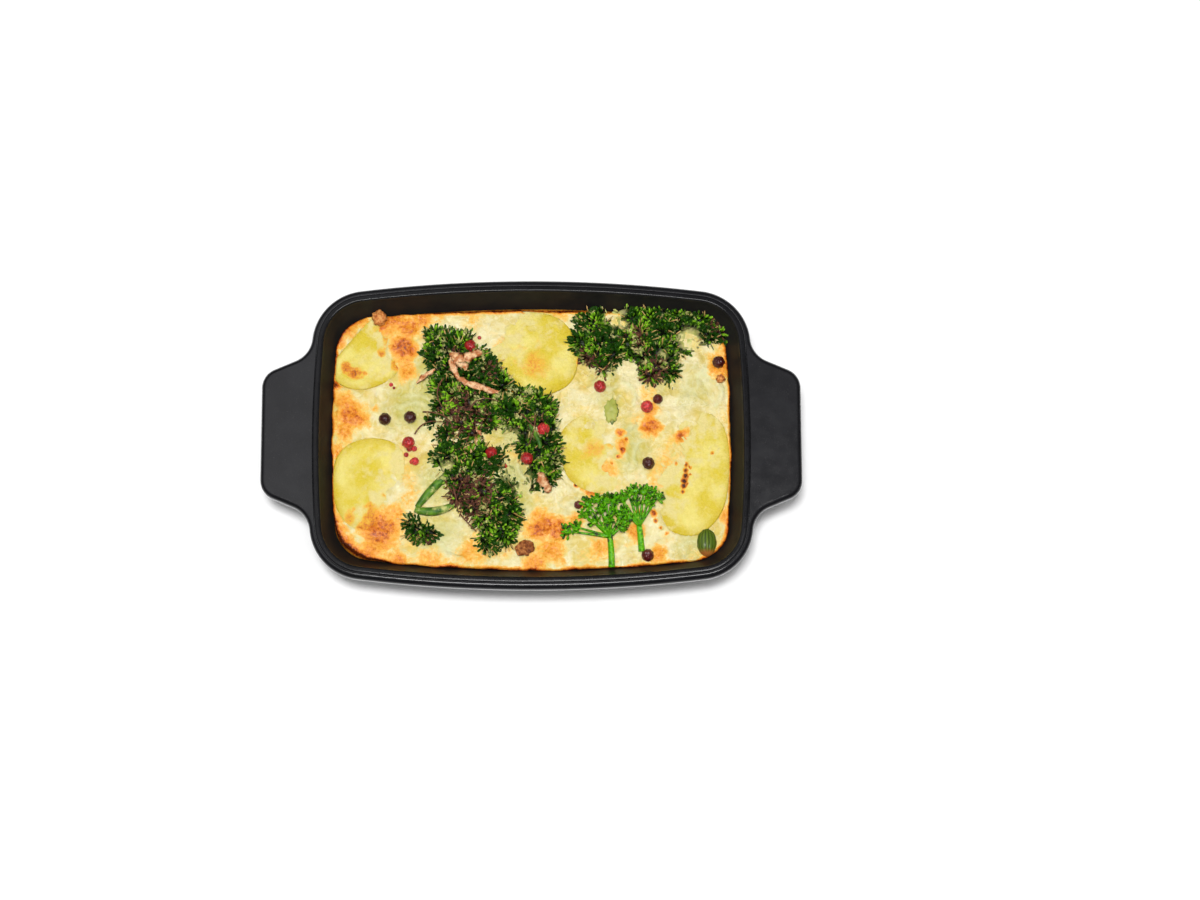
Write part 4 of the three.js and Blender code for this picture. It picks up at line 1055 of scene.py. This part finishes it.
def build_heads():
    for seed, (name, head) in enumerate(HEADS.items()):
        node = f"broccoli_head_{name}"
        points, faces, shown, slope, margin = head_skin(node)
        radial = points[:, :2] - place(*head["root"])
        radial /= np.linalg.norm(radial, axis=1)[:, None] + 1 * MM
        way, gap = tufts(points)
        sideways = FAN_OUT * radial + DOWNHILL * slope + TUFT_SPREAD * way
        flow = np.column_stack([sideways, np.full(len(points), UPWARDS)])
        points[:, 2] += (TUFT_RISE - TUFT_CUT * gap) * MM * shown
        # The gaps between tufts get painted shade as well.
        margin = np.maximum(margin, gap)
        cheese = spots(points, CHEESE, 70 + seed, 0.5)
        points[:, 2] -= CHEESE_DENT * cheese
        parts = [(points, faces)]
        for listed in TWIGS.get(name, []):
            path = smooth_path([above_custard(*at) for at in listed], TWIG_STEPS)
            parts.append(tube(path, np.linspace(*TWIG_RADII, TWIG_STEPS) * MM, THIN_SIDES))
        every, faces = joined(parts)
        bare = np.zeros(len(every) - len(points))
        made = add_mesh(
            f"broccoli_{name}", every, faces, broccoli_green,
            flow=np.concatenate([flow, np.zeros((len(bare), 3))]),
            cover=np.concatenate([shown * np.clip(1.0 - 1.6 * cheese, 0.06, 1), bare]),
            cheese=np.concatenate([np.clip(2 * cheese - 0.6, 0, 1), bare]),
            margin=np.concatenate([margin, bare]),
            scorched=np.concatenate([spots(points, head["scorched"], 75 + seed, 0.5), bare + 1]),
            along=np.concatenate([np.zeros(len(points)), bare + 0.6]),
            shade=np.concatenate([np.full(len(points), 0.3), bare]),
            tone=np.zeros(len(every)),
        )
        for number, (length, width, spacing, scatter, tone) in enumerate(STRANDS):
            grow_nodes(made, BUD_TREE, **{
                "Strand length": length * MM, "Bud width": width * MM, "Spacing": spacing * MM,
                "Scatter": scatter, "Tone": tone, "Seed": seed + 20 * number, "Material": broccoli_green,
            })
        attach(made, "gratin")
        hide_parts(node)


build_heads()

# Broccoli stalks
# The cut stalks that the heads grew from: smooth, juicy and bright green, bent by the oven and smeared with
# cream. They lie sunk in the custard.
STALKS = {
    # places that the stalk passes through, and its radius in mm
    "front_left_1": ([(-0.40, -0.27), (-0.485, -0.385), (-0.565, -0.53)], 2.0),
    "front_left_2": ([(-0.575, -0.545), (-0.48, -0.56), (-0.38, -0.51)], 2.0),
    "centre": ([(0.045, -0.10), (0.03, -0.02), (-0.01, 0.08)], 1.1),
}


def stalk_material():
    material, tree, shader = new_material("green stalk")
    streaks = ranged(tree, noise_at(tree, 220, 3.0), 0.3, 0.7)
    juicy = mixed(tree, streaks, srgb(26, 78, 14), srgb(104, 150, 40))
    creamed = ranged(tree, noise_at(tree, 320, 4.0), 0.5, 0.68, 0.0, 0.85)
    set_inputs(tree, shader, {
        "Base Color": mixed(tree, creamed, juicy, srgb(206, 204, 124)),
        "Roughness": 0.45,
        "Normal": bump(tree, noise_at(tree, 500, 3.0), 0.6 * MM, 0.8),
    })
    return material


def build_stalks():
    green = stalk_material()
    for name, (through, radius) in STALKS.items():
        low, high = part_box(f"broccoli_stalk_{name}")
        lift = (low[2] + high[2]) / 2
        path = smooth_path([np.append(place(*at), lift) for at in through])
        taper = radius * MM * np.sin(np.linspace(0.5, math.pi - 0.35, len(path))) ** 0.5
        made = add_mesh(f"stalk_{name}", *tube(path, taper), green)
        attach(made, "gratin")
        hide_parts(f"broccoli_stalk_{name}")


build_stalks()

# Fresh sprigs
# Two small sprigs laid on after baking: a juicy stem that forks into branches, each with a cluster of blunt
# green buds, flecked dark and flecked pale with a painted highlight, and a little bruised. The stems rest in
# the top of the custard.
BRANCH_ARCH = 0.6 * MM
BRANCH_STEPS = 10
CLUSTER_LUMPS = 0.15
# In mm: radii at the root and at the tip, and the half sizes of the core of a cluster of buds.
STEM_RADII = (1.5, 1.25)
BRANCH_RADII = (0.75, 0.4)
CLUSTER_REACH = (1.7, 1.7, 1.1)
SPRIGS = {
    # the stem's places, then the place of each cluster of buds and its height above the custard in mm
    "left": {
        "stem": [(0.396, -0.975), (0.395, -0.87), (0.388, -0.75)],
        "tips": [(0.18, -0.71, 2.0), (0.225, -0.68, 2.4), (0.265, -0.59, 3.2), (0.28, -0.51, 3.6),
                 (0.325, -0.475, 3.4), (0.37, -0.49, 4.4), (0.405, -0.48, 3.6), (0.345, -0.56, 5.0),
                 (0.31, -0.64, 4.6), (0.40, -0.57, 4.8), (0.44, -0.61, 4.0), (0.445, -0.68, 3.2),
                 (0.375, -0.64, 5.2)],
    },
    "right": {
        "stem": [(0.545, -0.86), (0.54, -0.77), (0.533, -0.67)],
        "tips": [(0.45, -0.475, 3.4), (0.48, -0.435, 3.8), (0.515, -0.415, 4.2), (0.555, -0.42, 4.4),
                 (0.595, -0.43, 4.0), (0.625, -0.455, 3.4), (0.575, -0.50, 5.0), (0.52, -0.505, 5.0),
                 (0.46, -0.565, 3.6), (0.49, -0.615, 3.4)],
    },
}


def herb_material():
    material, tree, shader = new_material("fresh herb")
    fresh = ramp(tree, attribute(tree, "along"), [
        (0.0, srgb(30, 86, 2)), (0.5, srgb(92, 176, 10)), (1.0, srgb(84, 166, 10)),
    ])
    hidden = ranged(tree, attribute(tree, "shade"), 0.45, 0.85, 0.0, 0.95)
    shaded = mixed(tree, hidden, fresh, srgb(22, 70, 6))
    flecks = noise_at(tree, 800, 3.0)
    # The pale flecks are a painted highlight.
    pale = mixed(tree, ranged(tree, flecks, 0.54, 0.7, 0.0, 0.7), shaded, srgb(170, 218, 60))
    dark = mixed(tree, ranged(tree, flecks, 0.34, 0.46, 0.7, 0.0), pale, srgb(8, 56, 2))
    bruised = ranged(tree, noise_at(tree, 330, 2.0), 0.61, 0.66, 0.0, 0.85)
    set_inputs(tree, shader, {
        "Base Color": mixed(tree, bruised, dark, srgb(56, 42, 46)),
        "Roughness": 0.22,
        "Subsurface Weight": 0.15,
        "Subsurface Scale": 1.0 * MM,
        "Normal": bump(tree, flecks, 0.6 * MM, 0.7),
    })
    return material


def dome(middle, reach, lumps, seed, around, rings):
    """Points, faces and directions from the middle of a lumpy rounded mass."""
    profile = np.linspace(-0.485 * math.pi, 0.485 * math.pi, rings)
    angles = np.linspace(0, 2 * math.pi, around, endpoint=False)
    unit = [(math.cos(t) * math.cos(a), math.cos(t) * math.sin(a), math.sin(t))
            for t in profile for a in angles]
    unit = np.array(unit + [(0, 0, -1), (0, 0, 1)])
    points = unit * reach
    swell = 1 + lumps * fractal(points, 0.5 * min(reach[:2]), seed, 2)
    return points * swell[:, None] + middle, loft_faces(rings, around), unit


def build_sprigs():
    herb = herb_material()
    for seed, (name, sprig) in enumerate(SPRIGS.items()):
        stem_low, stem_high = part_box(f"sprig_stem_{name}")
        lift = (stem_low[2] + stem_high[2]) / 2
        path = smooth_path([np.append(place(*at), lift) for at in sprig["stem"]])
        points, faces = tube(path, np.linspace(*STEM_RADII, len(path)) * MM)
        stem = add_mesh(f"herb_stem_{name}", points, faces, herb, along=np.full(len(points), 0.5))
        fork = path[-1]
        parts, cover, flow = [], [], []
        for k, at in enumerate(sprig["tips"]):
            tip = above_custard(*at)
            branch = smooth_path([fork, (fork + tip) / 2 + [0, 0, BRANCH_ARCH], tip], BRANCH_STEPS)
            points, faces = tube(branch, np.linspace(*BRANCH_RADII, BRANCH_STEPS) * MM, THIN_SIDES)
            parts.append((points, faces))
            cover.append(np.zeros(len(points)))
            flow.append(np.tile(tip - fork, (len(points), 1)))
            points, faces, unit = dome(tip, np.array(CLUSTER_REACH) * MM, CLUSTER_LUMPS, 80 + k, 14, 8)
            parts.append((points, faces))
            cover.append(np.ones(len(points)))
            flow.append(unit * [1, 1, 0.6] + 0.9 * (tip - fork) / np.linalg.norm(tip - fork))
        points, faces = joined(parts)
        flow = np.concatenate(flow)
        flow /= np.linalg.norm(flow, axis=1)[:, None]
        crown = add_mesh(
            f"herb_crown_{name}", points, faces, herb, flow=flow, cover=np.concatenate(cover),
            along=np.full(len(points), 0.4), shade=np.full(len(points), 0.3),
        )
        grow_nodes(crown, BUD_TREE, **{
            "Strand length": 2.4 * MM, "Bud width": 1.25 * MM, "Spacing": 0.85 * MM, "Scatter": 0.8,
            "Tone": 0.01, "Seed": seed, "Material": herb,
        })
        for made, node in ((stem, f"sprig_stem_{name}"), (crown, f"sprig_crown_{name}")):
            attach(made, "gratin")
            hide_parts(node)


build_sprigs()

# Sprout bud and leaf
# A ribbed green bud that stands in the custard by the front right corner, browned at its cut end, and a
# scrap of pale leaf baked into the top.
SPROUT_MESH = (64, 20)
BUD_RIBS = 16
RIB_HEIGHT = 0.25 * MM
# The shares of its CAD box that each fills, and how uneven each is.
BUD_FILL = 0.95
LEAF_FILL = (0.8, 1.0, 0.6)
BUD_LUMPS = 0.05
LEAF_LUMPS = 0.3


def ribbed_material(name, dark, pale, browned):
    material, tree, shader = new_material(name)
    skin = mixed(tree, attribute(tree, "rib"), dark, pale)
    set_inputs(tree, shader, {
        "Base Color": mixed(tree, attribute(tree, "brown"), skin, browned),
        "Roughness": 0.32,
        "Subsurface Weight": 0.1,
        "Subsurface Scale": 1.0 * MM,
    })
    return material


def build_bud_and_leaf():
    bud = ribbed_material("ribbed bud", srgb(40, 62, 10), srgb(104, 126, 36), srgb(150, 92, 40))
    leaf = ribbed_material("pale leaf", srgb(146, 154, 62), srgb(186, 186, 92), srgb(74, 92, 20))
    pieces = (("sprout_bud", "ribbed_bud", "herb", bud), ("green_leaf", "leaf_scrap", "stalk", leaf))
    for node, name, slot, skin in pieces:
        low, high = (np.array(corner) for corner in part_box(node))
        middle, reach = (low + high) / 2, (high - low) / 2
        middle[2] = custard_top(*middle[:2])
        if node == "sprout_bud":
            points, faces, unit = dome(middle, reach * BUD_FILL, BUD_LUMPS, 95, *SPROUT_MESH)
            rib = 0.5 + 0.5 * np.cos(BUD_RIBS * np.arctan2(unit[:, 0], unit[:, 2]))
            brown = np.clip((-unit[:, 1] - 0.42) / 0.3, 0, 1)
        else:
            points, faces, unit = dome(middle, reach * LEAF_FILL, LEAF_LUMPS, 96, *SPROUT_MESH)
            rib = 0.5 + 0.5 * fractal(points, 3 * MM, 97)
            brown = np.clip((np.hypot(*unit[:, :2].T) - 0.88) / 0.1, 0, 1) * (unit[:, 0] > -0.2)
        points += (unit * RIB_HEIGHT) * rib[:, None]
        made = add_mesh(name, points, faces, skin, rib=rib, brown=brown)
        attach(made, "gratin")
        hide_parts(node)


build_bud_and_leaf()

# Peppercorns
# Dried pink and black peppercorns and scraps of pink ones, thrown on before baking: hollow, brittle and
# wrinkled, with a hard shiny skin. They sit in the custard and on the broccoli.
# The height of a berry's ridges and how far it is sunk, as shares of its radius.
WRINKLE = 0.14
BERRY_SINK = 0.35
# Scraps of pink pepper: their height above the custard in mm, then place in shares and radius in mm.
SCRAP_LIFT = 0.3
SCRAPS = [
    (-0.628, -0.05, 1.3), (-0.607, -0.087, 1.2), (-0.622, -0.133, 1.0), (-0.582, -0.087, 1.2),
    (-0.592, -0.186, 1.1), (-0.26, 0.757, 0.8), (-0.70, 0.40, 0.9), (-0.686, 0.375, 0.6),
    (-0.13, -0.22, 0.9), (-0.14, 0.27, 0.7),
]


def peppercorn_tree():
    """Puts a wrinkled berry on each point, as large as its berry_size attribute says."""
    tree, given = new_tree("peppercorns", [("Wrinkle", "Float")])
    ball = add_node(tree, "GeometryNodeMeshIcoSphere", {"Radius": 1.0, "Subdivisions": 5})
    spot = add_node(tree, "GeometryNodeInputPosition")
    creases = add_node(tree, "ShaderNodeTexNoise", {"Vector": spot, "Scale": 2.6, "Detail": 2.0})
    ridge = add_node(tree, "ShaderNodeMapRange", {"Value": creases, "From Min": 0.35, "From Max": 0.6})
    outwards = vector_maths(tree, "SCALE", {0: spot, "Scale": times(tree, ridge, given["Wrinkle"])})
    wrinkled = add_node(tree, "GeometryNodeSetPosition", {"Geometry": ball, "Offset": outwards})
    cloud = add_node(tree, "GeometryNodeMeshToPoints", {"Mesh": given["Geometry"]})
    berries = add_node(tree, "GeometryNodeInstanceOnPoints", {
        "Points": cloud, "Instance": stored(tree, wrinkled, "ridge", ridge),
        "Rotation": drawn_vector(tree, (0, 0, 0), (6.3, 6.3, 6.3), 3), "Scale": named(tree, "berry_size"),
    })
    shaded = stored(tree, berries, "shade", drawn(tree, 0.0, 1.0, 8), "INSTANCE")
    whole = add_node(tree, "GeometryNodeRealizeInstances", {"Geometry": shaded})
    return finish_tree(tree, whole, given["Material"])


def pepper_material(name, deep, bright):
    material, tree, shader = new_material(name)
    skin = mixed(tree, attribute(tree, "shade"), deep, bright)
    hollow = ranged(tree, attribute(tree, "ridge"), 0.0, 1.0, 0.55, 0.0)
    set_inputs(tree, shader, {
        "Base Color": mixed(tree, hollow, skin, srgb(40, 14, 12)),
        "Roughness": 0.3,
        "Coat Weight": 1.0,
        "Coat Roughness": 0.1,
    })
    return material


def build_peppercorns():
    tree = peppercorn_tree()
    kinds = {
        "red": pepper_material("pink pepper", srgb(160, 18, 24), srgb(224, 60, 62)),
        "dark": pepper_material("black pepper", srgb(30, 9, 9), srgb(98, 27, 24)),
    }
    for kind, skin in kinds.items():
        nodes = sorted(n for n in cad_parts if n.startswith(f"peppercorn_{kind}"))
        boxes = [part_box(node) for node in nodes]
        middles = np.array([(np.array(low) + high) / 2 for low, high in boxes])
        radii = np.array([(high[0] - low[0]) / 2 for low, high in boxes])
        middles[:, 2] -= BERRY_SINK * radii
        if kind == "red":
            scraps = [above_custard(u, v, SCRAP_LIFT) for u, v, _ in SCRAPS]
            middles = np.concatenate([middles, scraps])
            radii = np.concatenate([radii, [size * MM for _, _, size in SCRAPS]])
        made = add_mesh(f"{kind}_peppercorns", middles, [], skin, berry_size=radii)
        grow_nodes(made, tree, Wrinkle=WRINKLE, Material=skin)
        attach(made, "gratin")
        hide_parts(*nodes)


build_peppercorns()

# Onion crisps
# Shreds of fried onion: thin ribbons that curled and twisted in hot oil, golden with darker edges. They lie
# loose on the broccoli and the custard.
CRISP_STEPS = 60
CRISP_TWIST = 0.35
CRINKLE = 0.8 * MM
RAGGED = 0.6
# A strip's thickness in mm, and its section in shares of half the width and of the thickness.
CRISP_THICKNESS = 0.18
SECTION = [(-1, 0.0), (-0.5, -0.5), (0, -0.6), (0.5, -0.5), (1, 0.0), (0.5, 0.5), (0, 0.6), (-0.5, 0.5)]
CRISPS = {
    # strips of each crisp: the places it passes through and its width in mm
    1: [([(-0.405, 0.62), (-0.36, 0.57), (-0.33, 0.49)], 5.5),
        ([(-0.38, 0.56), (-0.32, 0.59), (-0.245, 0.63)], 4.2),
        ([(-0.40, 0.60), (-0.385, 0.50), (-0.35, 0.41)], 3.2)],
    2: [([(-0.36, 0.43), (-0.28, 0.37), (-0.165, 0.325)], 3.4)],
    3: [([(-0.572, 0.40), (-0.522, 0.46), (-0.480, 0.51)], 2.2)],
    4: [([(-0.269, 0.075), (-0.262, 0.0), (-0.28, -0.08)], 3.0),
        ([(-0.26, -0.05), (-0.31, -0.09), (-0.355, -0.09)], 4.0)],
    5: [([(0.035, -0.28), (0.062, -0.35), (0.092, -0.42)], 5.0)],
}


def crisp_material():
    material, tree, shader = new_material("fried onion")
    streaks = ranged(tree, noise_at(tree, 420, 4.0, 0.7), 0.38, 0.62)
    gold = mixed(tree, streaks, srgb(246, 204, 154), srgb(188, 112, 62))
    set_inputs(tree, shader, {
        "Base Color": mixed(tree, times(tree, attribute(tree, "edge"), 0.5), gold, srgb(150, 78, 34)),
        "Roughness": 0.4,
        "Subsurface Weight": 0.15,
        "Subsurface Scale": 0.8 * MM,
        "Normal": bump(tree, noise_at(tree, 1200, 3.0), 0.3 * MM, 0.6),
    })
    return material


def ribbon(path, width, seed):
    """Points, faces and edge marks of a thin crinkled strip with ragged edges."""
    along = np.gradient(path, axis=0)
    along /= np.linalg.norm(along, axis=1)[:, None]
    rings, edges = [], []
    for k, (spot, ahead) in enumerate(zip(path, along)):
        share = k / (len(path) - 1)
        turn = CRISP_TWIST * math.sin(4 * share + seed)
        side = np.cross(ahead, [0, 0, 1])
        side /= np.linalg.norm(side)
        up = np.cross(side, ahead)
        across = math.cos(turn) * side + math.sin(turn) * up
        thick = np.cross(ahead, across)
        half = width / 2 * (0.2 + 0.8 * math.sin(math.pi * min(0.97, max(0.03, share))) ** 0.45)
        frayed = [noise.fractal(Vector((5 * share, seed, edge)), 1.0, 2.0, 4) for edge in (3, 8)]
        for a, b in SECTION:
            crinkle = CRINKLE * noise.fractal(Vector((3 * share, 1.8 * a, 2 * seed)), 1.0, 2.0, 3)
            reach = a * half * (1 + RAGGED * frayed[a > 0])
            rings.append(spot + reach * across + (b * CRISP_THICKNESS * MM + crinkle) * thick)
            edges.append(a * a)
    points = np.concatenate([rings, path[:1], path[-1:]])
    return points, loft_faces(len(path), len(SECTION)), np.array(edges + [1, 1])


def build_crisps():
    gold = crisp_material()
    for number, strips in CRISPS.items():
        low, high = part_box(f"onion_crisp_{number}")
        lifts = (0.35 * low[2] + 0.65 * high[2], high[2], 0.5 * (low[2] + high[2]))
        parts, edges = [], []
        for k, (through, width) in enumerate(strips):
            path = smooth_path([np.append(place(*at), lift) for at, lift in zip(through, lifts)], CRISP_STEPS)
            points, faces, edge = ribbon(path, width * MM, number + 0.37 * k)
            parts.append((points, faces))
            edges.append(edge)
        made = add_mesh(f"onion_ribbon_{number}", *joined(parts), gold, edge=np.concatenate(edges))
        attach(made, "gratin")
        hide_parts(f"onion_crisp_{number}")


build_crisps()

# Toasted crumbs
# Lumps of bread crumb and cheese that baked hard and brown: two stuck at the wall, and a flatter dark blister
# at the front of the custard.
# The shares of its CAD box that a lump fills, how far it is sunk, and how uneven it is.
CRUMB_FILL = 0.92
BLISTER_FILL = 0.55
CRUMB_SINK = 0.25
CRUMB_LUMPS = 0.35


def crumb_material(name, deep, middling, pale):
    material, tree, shader = new_material(name)
    pores = noise_at(tree, 600, 5.0, 0.7)
    set_inputs(tree, shader, {
        "Base Color": ramp(tree, pores, [(0.3, deep), (0.48, middling), (0.65, pale)]),
        "Roughness": 0.5,
        "Normal": bump(tree, pores, 0.8 * MM, 0.8),
    })
    return material


def build_crumbs():
    toast = crumb_material("toasted crumb", srgb(120, 58, 26), srgb(206, 122, 56), srgb(240, 182, 110))
    blister = crumb_material("dark blister", srgb(58, 24, 10), srgb(132, 68, 26), srgb(206, 136, 72))
    kinds = ((toast, CRUMB_FILL), (toast, CRUMB_FILL), (blister, BLISTER_FILL))
    nodes = sorted(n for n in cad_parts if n.startswith("toasted_crumb"))
    for seed, (node, (finish, height)) in enumerate(zip(nodes, kinds)):
        low, high = (np.array(corner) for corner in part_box(node))
        middle, reach = (low + high) / 2, (high - low) / 2
        middle[2] -= CRUMB_SINK * reach[2]
        size = reach * (CRUMB_FILL, CRUMB_FILL, height)
        points, faces, _ = dome(middle, size, CRUMB_LUMPS, 110 + seed, 48, 32)
        made = add_mesh(f"crumb_{seed + 1}", points, faces, finish)
        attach(made, "gratin")
        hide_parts(node)


build_crumbs()

# Stage
# A plain white table under a small key lamp and a softbox almost overhead, with two wide weak panels for the
# glaze to mirror, over the back and on the left, and a camera that looks almost straight down.
PHOTO_WIDTH = 1200
PHOTO_MIDDLE = (600, 450)
DISH_IN_PHOTO = (531.3, 432.5)
DISH_PIXELS = 542
DISH_LENGTH = 0.240
PIXELS_PER_METRE = DISH_PIXELS / DISH_LENGTH
CAMERA_DISTANCE = 1.1
CAMERA_TILT = math.radians(10)
TABLE_REACH = 14.0
# The lamps don't light the far table, so between these distances, in metres, it turns to plain white.
UNLIT_TABLE = (0.3, 0.9)
SKY_STRENGTH = 0.06


def floor_material():
    material, tree, shader = new_material("white table")
    spot = add_node(tree, "ShaderNodeTexCoord").outputs["Object"]
    away = add_node(tree, "ShaderNodeVectorMath", {0: spot}, operation="LENGTH").outputs["Value"]
    path = add_node(tree, "ShaderNodeLightPath").outputs
    mirrored = maths(tree, "MAXIMUM", path["Is Glossy Ray"], path["Is Transmission Ray"])
    seen = maths(tree, "MAXIMUM", path["Is Camera Ray"], mirrored)
    set_inputs(tree, shader, {
        "Base Color": (1, 1, 1, 1),
        "Roughness": 0.9,
        "Specular IOR Level": 0.0,
        "Emission Color": (1, 1, 1, 1),
        "Emission Strength": times(tree, ranged(tree, away, *UNLIT_TABLE), seen),
    })
    return material


def add_lamp(name, position, target, size, watts, mirrored=True):
    """A rectangular lamp that faces a point, and that the glaze may or may not mirror."""
    lamp = bpy.data.lights.new(name, "AREA")
    lamp.shape = "RECTANGLE"
    lamp.size, lamp.size_y = size
    lamp.energy = watts
    made = bpy.data.objects.new(name, lamp)
    made.location = position
    made.rotation_euler = (Vector(target) - Vector(position)).to_track_quat("-Z", "Y").to_euler()
    made.visible_glossy = mirrored
    bpy.context.scene.collection.objects.link(made)


def build_stage():
    corners = [(x * TABLE_REACH, y * TABLE_REACH, 0) for x, y in ((-1, -1), (1, -1), (1, 1), (-1, 1))]
    floor = add_mesh("table", corners, [(0, 1, 2, 3)], floor_material())
    scene = bpy.context.scene
    scene.world = bpy.data.worlds.new("studio")
    scene.world.use_nodes = True
    sky = scene.world.node_tree.nodes["Background"]
    set_inputs(scene.world.node_tree, sky, {"Color": (1, 1, 1, 1), "Strength": SKY_STRENGTH})
    scene.view_settings.view_transform = "Standard"
    food = (0, 0, 0.03)
    add_lamp("key lamp", (-0.05, -0.11, 1.6), food, (0.15, 0.14), 17, mirrored=False)
    add_lamp("softbox", (0.05, -0.16, 1.4), food, (0.5, 0.28), 6)
    add_lamp("ceiling panel", (0.3, 0.3, 2.2), (0.3, 0.3, 0), (3.0, 2.4), 4.3)
    add_lamp("side panel", (-0.85, 0.25, 1.3), (-0.85, 0.25, 0), (1.5, 1.4), 3.4)


def build_camera():
    camera = bpy.data.cameras.new("camera")
    camera.sensor_width = 36
    camera.lens = PIXELS_PER_METRE * CAMERA_DISTANCE / PHOTO_WIDTH * camera.sensor_width
    camera.shift_x = (PHOTO_MIDDLE[0] - DISH_IN_PHOTO[0]) / PHOTO_WIDTH
    camera.shift_y = (DISH_IN_PHOTO[1] - PHOTO_MIDDLE[1]) / PHOTO_WIDTH
    made = bpy.data.objects.new("camera", camera)
    target = Vector((0, 0, DISH_HEIGHT))
    made.location = target + CAMERA_DISTANCE * Vector((0, -math.sin(CAMERA_TILT), math.cos(CAMERA_TILT)))
    made.rotation_euler = (CAMERA_TILT, 0, 0)
    bpy.context.scene.collection.objects.link(made)
    bpy.context.scene.camera = made


build_stage()
build_camera()
